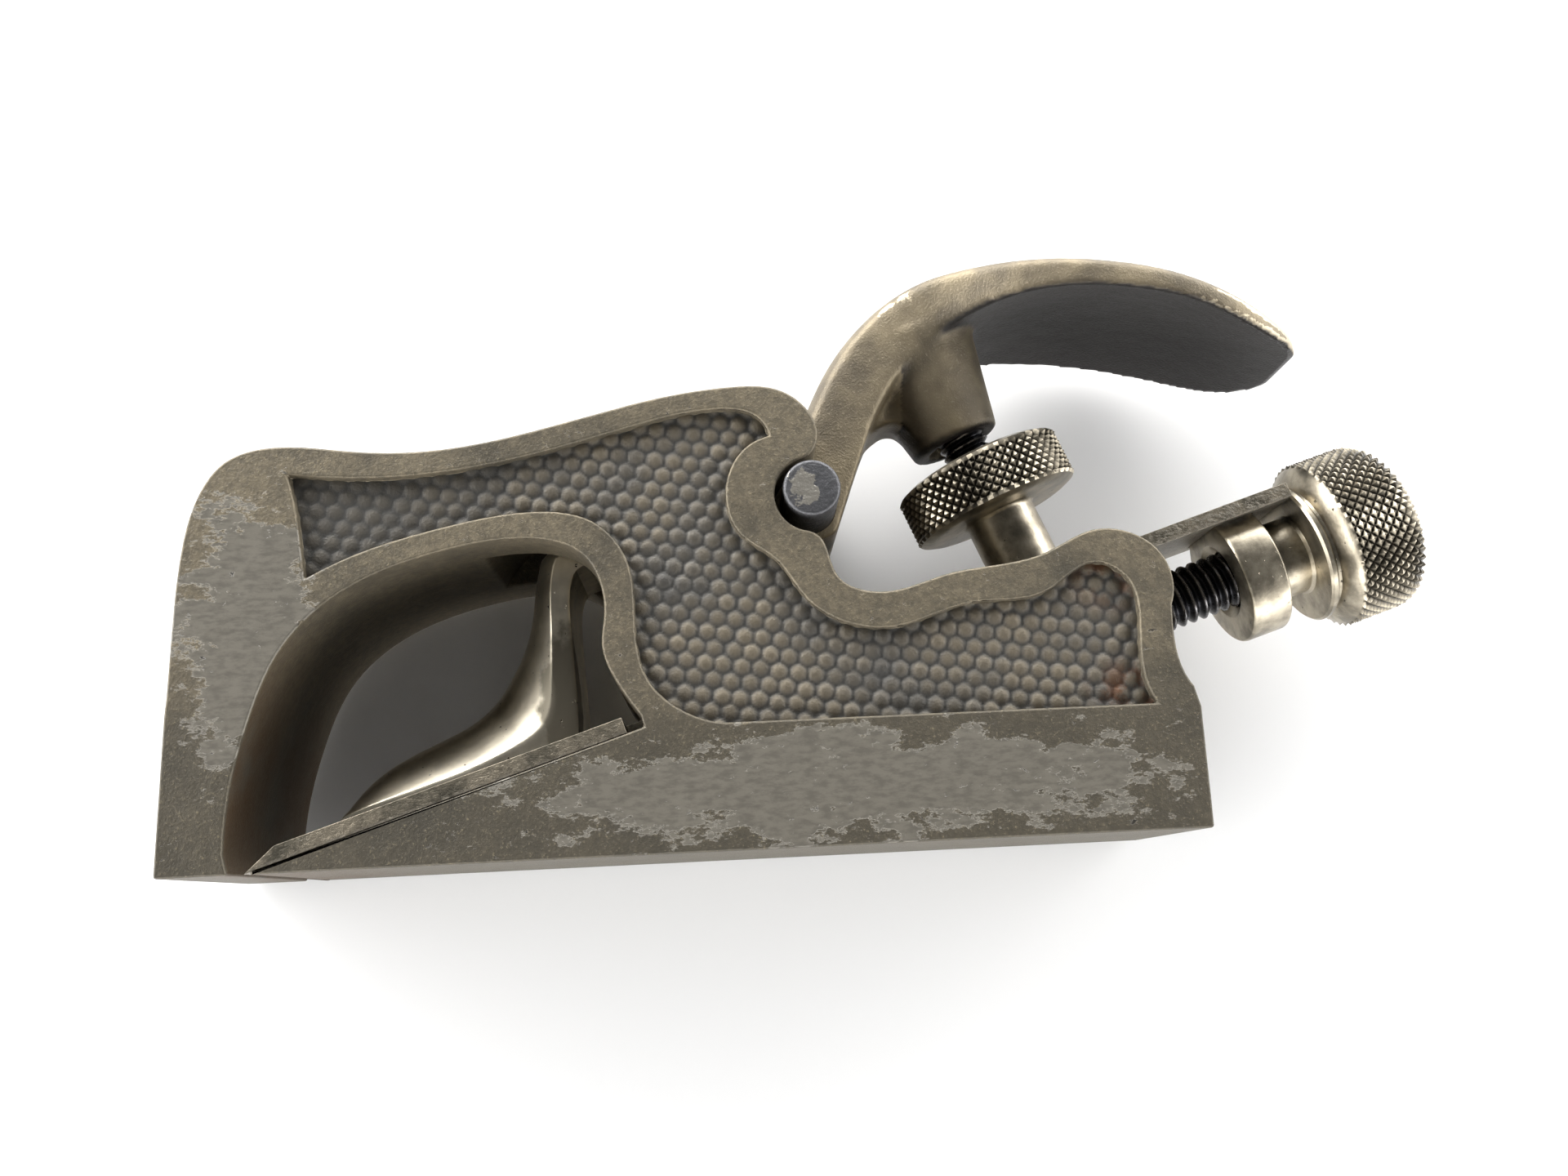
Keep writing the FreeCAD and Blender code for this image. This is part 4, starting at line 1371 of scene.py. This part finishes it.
    def web(self) -> bmesh.types.BMesh:
        """Web between the arm and the boss, arched below.

        Returns:
            The web's mesh.
        """
        outline = [(6.2, 9.0), (7.6, 8.9), (9.0, 10.0), (10.4, 10.3), (11.6, 9.4), (12.7, 7.9),
                   (16.5, 10.0), (15.5, 19.0), (11.0, 19.0), (5.0, 10.5)]
        bm = bmesh.new()
        face = bm.faces.new([bm.verts.new(from_pivot(dx, dz, -self.web_half)) for dx, dz in outline])
        far = bmesh.ops.extrude_face_region(bm, geom=[face], use_keep_orig=True)
        moved = [item for item in far["geom"] if isinstance(item, bmesh.types.BMVert)]
        bmesh.ops.translate(bm, verts=moved, vec=(0, 2 * self.web_half * MM, 0))
        bmesh.ops.recalc_face_normals(bm, faces=bm.faces)
        return bm

    def eye_cutter(self) -> bpy.types.Object:
        """Round bar that cuts the pin's eye.

        Returns:
            The bar.
        """
        bm = bmesh.new()
        radius = self.hole * MM
        bmesh.ops.create_cone(bm, cap_ends=True, segments=64, radius1=radius, radius2=radius,
                              depth=4 * HALF_WIDTH)
        turn = Matrix.Rotation(math.pi / 2, 4, "X")
        bmesh.ops.transform(bm, matrix=Matrix.Translation(PIVOT) @ turn, verts=bm.verts)
        return new_piece("eye_cutter", bm)

    def mark(self, bm: bmesh.types.BMesh) -> None:
        """Store where the casting's rims are, and which downward faces on the palm's side of the arm get
        painted shade, for its finish.

        Args:
            bm: the casting's mesh.
        """
        edge = bm.verts.layers.float.new("edge")
        underside_shade = bm.verts.layers.float.new("underside_shade")
        bm.normal_update()
        for vert in bm.verts:
            turns = [link.calc_face_angle_signed(0.0) for link in vert.link_edges if link.is_manifold]
            vert[edge] = min(1.0, max(0.0, max(turns, default=0.0) * 2.2))
            behind = vert.co.x > from_pivot(11.0, 0).x
            # painted shade mask: faces that look down, on the palm's side of the arm
            vert[underside_shade] = min(1.0, max(0.0, -vert.normal.z * 2.0 - 0.4)) if behind else 0.0


@dataclass
class LeverPin:
    """Cross pin, with slightly rounded, knocked ends."""

    rounding: float = 0.42      # of the ends' rims, mm
    flat: float = 1.6           # radius of the ends' flat middles, mm

    def build(self) -> list[bpy.types.Object]:
        """Build and dress the pin.

        Returns:
            The pin, in a list.
        """
        across = Vector((0, 1, 0))
        low, high, radius = reach_along("lever_pin", PIVOT, across)
        half = (high - low) / 2
        end = arc((radius - 0.45, half - self.rounding), self.rounding, 0, 90, 5)
        section = [(0, half), (self.flat, half - 0.02)] + end[::-1]
        mirrored = [(around, -height) for around, height in reversed(section)]
        lathe = Lathe("lever_pin_turned", PIVOT, across, 64)
        lathe.spin(section + mirrored)
        pin = lathe.piece()
        dress(pin, PinSteel().dress())
        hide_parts("lever_pin")
        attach(pin, "lever")
        return [pin]


@dataclass
class ClampScrew:
    """Knurled clamp wheel with its foot, and the threaded stud above it."""

    pitch: float = 1.0          # turn of the thread, mm
    thread_depth: float = 0.5
    knurl_around: int = 47      # diamonds round the wheel
    knurl_depth: float = 0.45
    flat: float = 0.10          # width taken off each peak, mm
    round_edge: float = 0.75    # of the wheel's rims, mm
    shank: float = 3.9          # radii, mm
    recess: float = 2.85
    recess_depth: float = 3.8   # mm
    painted_shade_at: Vector = Vector((34.0, -2.0, 30.6))  # painted shade on the shank below the wheel, mm

    def build(self) -> list[bpy.types.Object]:
        """Build and dress the wheel and the stud.

        Returns:
            The wheel and the stud.
        """
        wheel, stud = self.wheel(), self.stud()
        # the wheel's finish paints shade on its shank below the wheel
        dress(wheel, PaleNickel("clamp_wheel_nickel", painted_shade_at=self.painted_shade_at * MM).dress())
        dress(stud, OiledSteel("clamp_thread_steel").dress())
        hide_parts("clamp_wheel")
        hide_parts("clamp_stud")
        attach(wheel, "clamp_head")
        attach(stud, "clamp_spindle")
        return [wheel, stud]

    def wheel(self) -> bpy.types.Object:
        """Wheel with a diamond knurl, shank and foot.

        Returns:
            The wheel.
        """
        origin, axis = joint_place("clamp_spin"), joint_axis("clamp_spin")
        low, high, radius = reach_along("clamp_wheel", origin, axis)
        lathe = Lathe("clamp_wheel_turned", origin, axis, 2 * self.knurl_around)
        shank, edge, deep = self.shank, self.round_edge, high - self.recess_depth
        band = straight((radius - 0.02, -high + edge), (radius - 0.02, high - edge), 8)
        start = [(0, low), (shank - 0.8, low), (shank, low + 0.8)]
        fillet = arc((shank + 0.5, -high - 0.5), 0.5, 180, 90, 3)
        lower = [(radius - 1.9, -high), (radius - 1.2, -high + 0.08), (radius - 0.35, -high + edge * 0.55)]
        upper = [(radius - 0.35, high - edge * 0.55), (radius - 1.2, high - 0.05),
                 (self.recess + 0.55, high), (self.recess, high - 0.4), (self.recess, deep), (0, deep)]
        lathe.spin(start + fillet + lower + band + upper)
        first = len(start + fillet + lower)
        lathe.knurl(first, first + len(band) - 1, self.knurl_depth, self.flat)
        return lathe.piece()

    def stud(self) -> bpy.types.Object:
        """Threaded stud between the wheel and the boss.

        Returns:
            The stud.
        """
        origin, axis = joint_place("clamp_spin"), joint_axis("clamp_spin")
        low, high, radius = reach_along("clamp_stud", origin, axis)
        lathe = Lathe("clamp_stud_threaded", origin, axis, 40)
        side = straight((radius, low + 0.4), (radius, high - 0.4), int((high - low) * 8))
        lathe.spin([(0, low), (radius - 0.4, low)] + side + [(radius - 0.4, high), (0, high)])
        lathe.thread(low + 0.5, high - 0.3, self.pitch, self.thread_depth)
        return lathe.piece(50.0)


@dataclass
class Adjuster:
    """Adjusting nut with its collar, neck, flange and knurled knob, and its fixed stud."""

    pitch: float = 1.27         # turn of the thread, mm
    thread_depth: float = 0.62
    knurl_around: int = 47      # diamonds round the knob
    knurl_depth: float = 0.45
    flat: float = 0.10          # width taken off each peak, mm
    rounding: float = 2.9       # of the knob's rear edge, mm
    collar: float = 7.1         # radii, mm
    neck: float = 4.3
    flange: float = 7.8
    bore: float = 3.2
    collar_end: float = 4.6     # heights from the collar's front face, mm
    neck_end: float = 8.9
    flange_end: float = 9.7
    knurl_start: float = 11.9
    end_gap: float = 0.25       # the knob's end stays this far inside its box, mm

    def build(self) -> list[bpy.types.Object]:
        """Build and dress the nut and its stud.

        Returns:
            The nut and the stud.
        """
        nut, stud = self.nut(), self.stud()
        dress(nut, PaleNickel("adjuster_nickel").dress())
        dress(stud, OiledSteel("adjuster_thread_steel").dress())
        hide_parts("adjuster_nut")
        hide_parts("adjuster_stud")
        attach(nut, "adjuster")
        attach(stud, "plane_body")
        return [nut, stud]

    def nut(self) -> bpy.types.Object:
        """One turned piece with a knurl that runs over the knob's rear edge.

        Returns:
            The nut.
        """
        origin = joint_place("adjuster_spin")
        _, high, radius = reach_along("adjuster_nut", origin, BED)
        high -= self.end_gap
        turn, knob = self.rounding, radius - 0.02
        lathe = Lathe("adjuster_nut_turned", origin, BED, 2 * self.knurl_around)
        collar = ([(0, self.collar_end + 7.0), (self.bore, self.collar_end + 7.0),
                   (self.bore, 0.9), (self.bore + 1.0, 0.0)]
                  + arc((self.collar - 0.4, 0.4), 0.4, -90, 0, 3)
                  + arc((self.collar - 0.3, self.collar_end - 0.3), 0.3, 0, 90, 3))
        neck = [(self.neck + 0.3, self.collar_end), (self.neck, self.collar_end + 0.3),
                (self.neck, self.neck_end - 0.3), (self.neck + 0.3, self.neck_end)]
        flange = [(self.flange - 0.25, self.neck_end), (self.flange, self.neck_end + 0.25),
                  (self.flange, self.flange_end - 0.1), (self.flange - 0.15, self.flange_end + 0.05),
                  (self.flange - 0.75, self.flange_end + 0.45), (self.flange - 0.7, self.flange_end + 0.75)]
        shoulder = [(self.flange - 0.1, self.flange_end + 0.95), (self.flange + 0.35, self.flange_end + 1.2),
                    (knob - 0.75, self.knurl_start - 0.55), (knob - 0.4, self.knurl_start - 0.2)]
        rounding = arc((knob - turn, high - turn), turn, 0, 82, 6)
        side = straight((knob, self.knurl_start), (knob, high - turn), 9)
        end = [(knob - turn - 0.4, high - 0.02), (knob - turn - 1.6, high), (0, high)]
        lathe.spin(collar + neck + flange + shoulder + side + rounding[1:] + end)
        first = len(collar + neck + flange + shoulder)
        lathe.knurl(first, first + len(side + rounding[1:]) - 1, self.knurl_depth, self.flat)
        return lathe.piece()

    def stud(self) -> bpy.types.Object:
        """Threaded stud that stands in the body's heel.

        Returns:
            The stud.
        """
        origin = joint_place("adjuster_spin")
        low, high, radius = reach_along("adjuster_stud", origin, BED)
        lathe = Lathe("adjuster_stud_threaded", origin, BED, 48)
        side = straight((radius, low + 0.5), (radius, high - 0.5), int((high - low) * 7))
        lathe.spin([(0, low), (radius - 0.5, low)] + side + [(radius - 0.5, high), (0, high)])
        lathe.thread(low + 1.0, high - 0.4, self.pitch, self.thread_depth)
        return lathe.piece(50.0)


@dataclass
class Cutter:
    """Cutter, with its edges just broken."""

    edge: float = 0.07          # mm

    def build(self) -> list[bpy.types.Object]:
        """Build and dress the cutter.

        Returns:
            The cutter, in a list.
        """
        blade = new_piece("cutter_blade_ground", casting_copy("cutter_blade", self.edge * MM))
        weigh_normals(blade)
        dress(blade, BladeSteel().dress())
        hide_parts("cutter_blade")
        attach(blade, "cutter")
        return [blade]


# ------------------------------------------------------------------ stage
@dataclass
class Stage:
    """Pale sheet beside the plane, soft studio light and the camera."""

    size: float = 3.0           # metres
    gap: float = 0.5            # body to sheet, mm
    ring: Point2 = (0.60, 0.25)  # the light fades between these cosines to the side view's axis
    even: float = 10.0          # strength of the ring at its middle height
    from_above: float = 3.6     # added strength straight above
    from_toe: float = 2.0       # added strength ahead of the toe
    dim: float = 0.10           # strength of the rest
    from_back: float = 0.60     # share of the ring's strength on the far side of the backdrop
    turnover: float = 0.08      # half the width of the change between the two sides
    key_at: Colour = (-0.50, -0.30, 0.75)
    key_size: float = 0.45      # metres
    key_power: float = 4.0      # watts
    lens: float = 34.69         # mm
    sensor: float = 36.0        # mm
    camera_at: Colour = (0.00327, -0.16116, -0.00528)
    camera_right: Colour = (0.9981, -0.0359, -0.0497)
    camera_up: Colour = (0.0412, -0.2068, 0.9775)
    camera_back: Colour = (-0.0453, -0.9777, -0.2050)

    def build(self) -> None:
        """Build the stage."""
        self.sheet("backdrop", Vector((0, HALF_WIDTH + self.gap * MM, 0)), Vector((0, -1, 0)))
        self.camera()
        self.light("key", Vector(self.key_at), self.key_size, self.key_power)
        self.sky()

    def sky(self) -> None:
        """Light the scene from a broad ring round the plane, brightest above its toe."""
        world = bpy.data.worlds.new("studio")
        bpy.context.scene.world = world
        world.use_nodes = True
        nodes, links = world.node_tree.nodes, world.node_tree.links

        def operate(operation: str, first: Value, second: Value) -> Socket:
            """Add one math node to the world.

            Args:
                operation: the node's operation.
                first: the first value.
                second: the second value.

            Returns:
                The result.
            """
            node = nodes.new("ShaderNodeMath")
            node.operation = operation
            for socket, value in zip(node.inputs, (first, second)):
                if isinstance(value, bpy.types.NodeSocket):
                    links.new(value, socket)
                else:
                    socket.default_value = value
            return node.outputs[0]

        place = nodes.new("ShaderNodeSeparateXYZ")
        links.new(nodes.new("ShaderNodeTexCoord").outputs["Generated"], place.inputs[0])
        ring = nodes.new("ShaderNodeMapRange")
        ring.interpolation_type = "SMOOTHSTEP"
        links.new(operate("ABSOLUTE", place.outputs["Y"], 0.0), ring.inputs["Value"])
        ring.inputs["From Min"].default_value, ring.inputs["From Max"].default_value = self.ring
        above = operate("MULTIPLY", place.outputs["Z"], self.from_above)
        ahead = operate("MULTIPLY", place.outputs["X"], -self.from_toe)
        level = operate("ADD", operate("ADD", above, ahead), self.even)
        behind = nodes.new("ShaderNodeMapRange")
        links.new(place.outputs["Y"], behind.inputs["Value"])
        behind.inputs["From Min"].default_value = -self.turnover
        behind.inputs["From Max"].default_value = self.turnover
        behind.inputs["To Min"].default_value = 1.0
        behind.inputs["To Max"].default_value = self.from_back
        bright = operate("MULTIPLY", operate("MULTIPLY", ring.outputs[0], behind.outputs[0]), level)
        nodes["Background"].inputs["Color"].default_value = (1.0, 1.0, 1.0, 1.0)
        links.new(operate("ADD", bright, self.dim), nodes["Background"].inputs["Strength"])

    def sheet(self, name: str, middle: Vector, normal: Vector) -> None:
        """Add one large flat sheet that is seen only from its front.

        Args:
            name: the sheet's name.
            middle: its middle.
            normal: the way it faces.
        """
        bm = bmesh.new()
        bmesh.ops.create_grid(bm, x_segments=1, y_segments=1, size=self.size)
        turn = Vector((0, 0, 1)).rotation_difference(normal).to_matrix().to_4x4()
        bmesh.ops.transform(bm, matrix=Matrix.Translation(middle) @ turn, verts=bm.verts)
        sheet = new_piece(name, bm)
        dress(sheet, PaleStage(name + "_white").dress())

    def light(self, name: str, place: Vector, size: float, power: float) -> None:
        """Add one soft square light that looks at the plane.

        Args:
            name: the light's name.
            place: its middle.
            size: its side in metres.
            power: its power in watts.
        """
        lamp = bpy.data.lights.new(name, "AREA")
        lamp.shape = "SQUARE"
        lamp.size = size
        lamp.energy = power
        holder = bpy.data.objects.new(name, lamp)
        holder.location = place
        holder.rotation_mode = "QUATERNION"
        holder.rotation_quaternion = (-place).to_track_quat("-Z", "Y")
        bpy.context.scene.collection.objects.link(holder)

    def camera(self) -> None:
        """Add the camera at the viewing angle."""
        data = bpy.data.cameras.new("camera")
        data.lens = self.lens
        data.sensor_width = self.sensor
        data.clip_start, data.clip_end = 0.01, 10.0
        camera = bpy.data.objects.new("camera", data)
        turn = Matrix((self.camera_right, self.camera_up, self.camera_back)).transposed().to_4x4()
        camera.matrix_world = Matrix.Translation(Vector(self.camera_at)) @ turn
        bpy.context.scene.collection.objects.link(camera)
        bpy.context.scene.camera = camera


def main() -> None:
    """Build the stage and every assembly in order, and report each piece."""
    logging.basicConfig(level=logging.INFO, format="%(message)s")
    bpy.context.scene.view_settings.view_transform = "Standard"
    Stage().build()
    for assembly in (BodyCasting(), Cutter(), LeverCap(), LeverPin(), ClampScrew(), Adjuster()):
        for piece in assembly.build():
            LOG.info("%s: %s, %d faces", type(assembly).__name__, piece.name, len(piece.data.polygons))


if __name__ == "__main__":
    main()
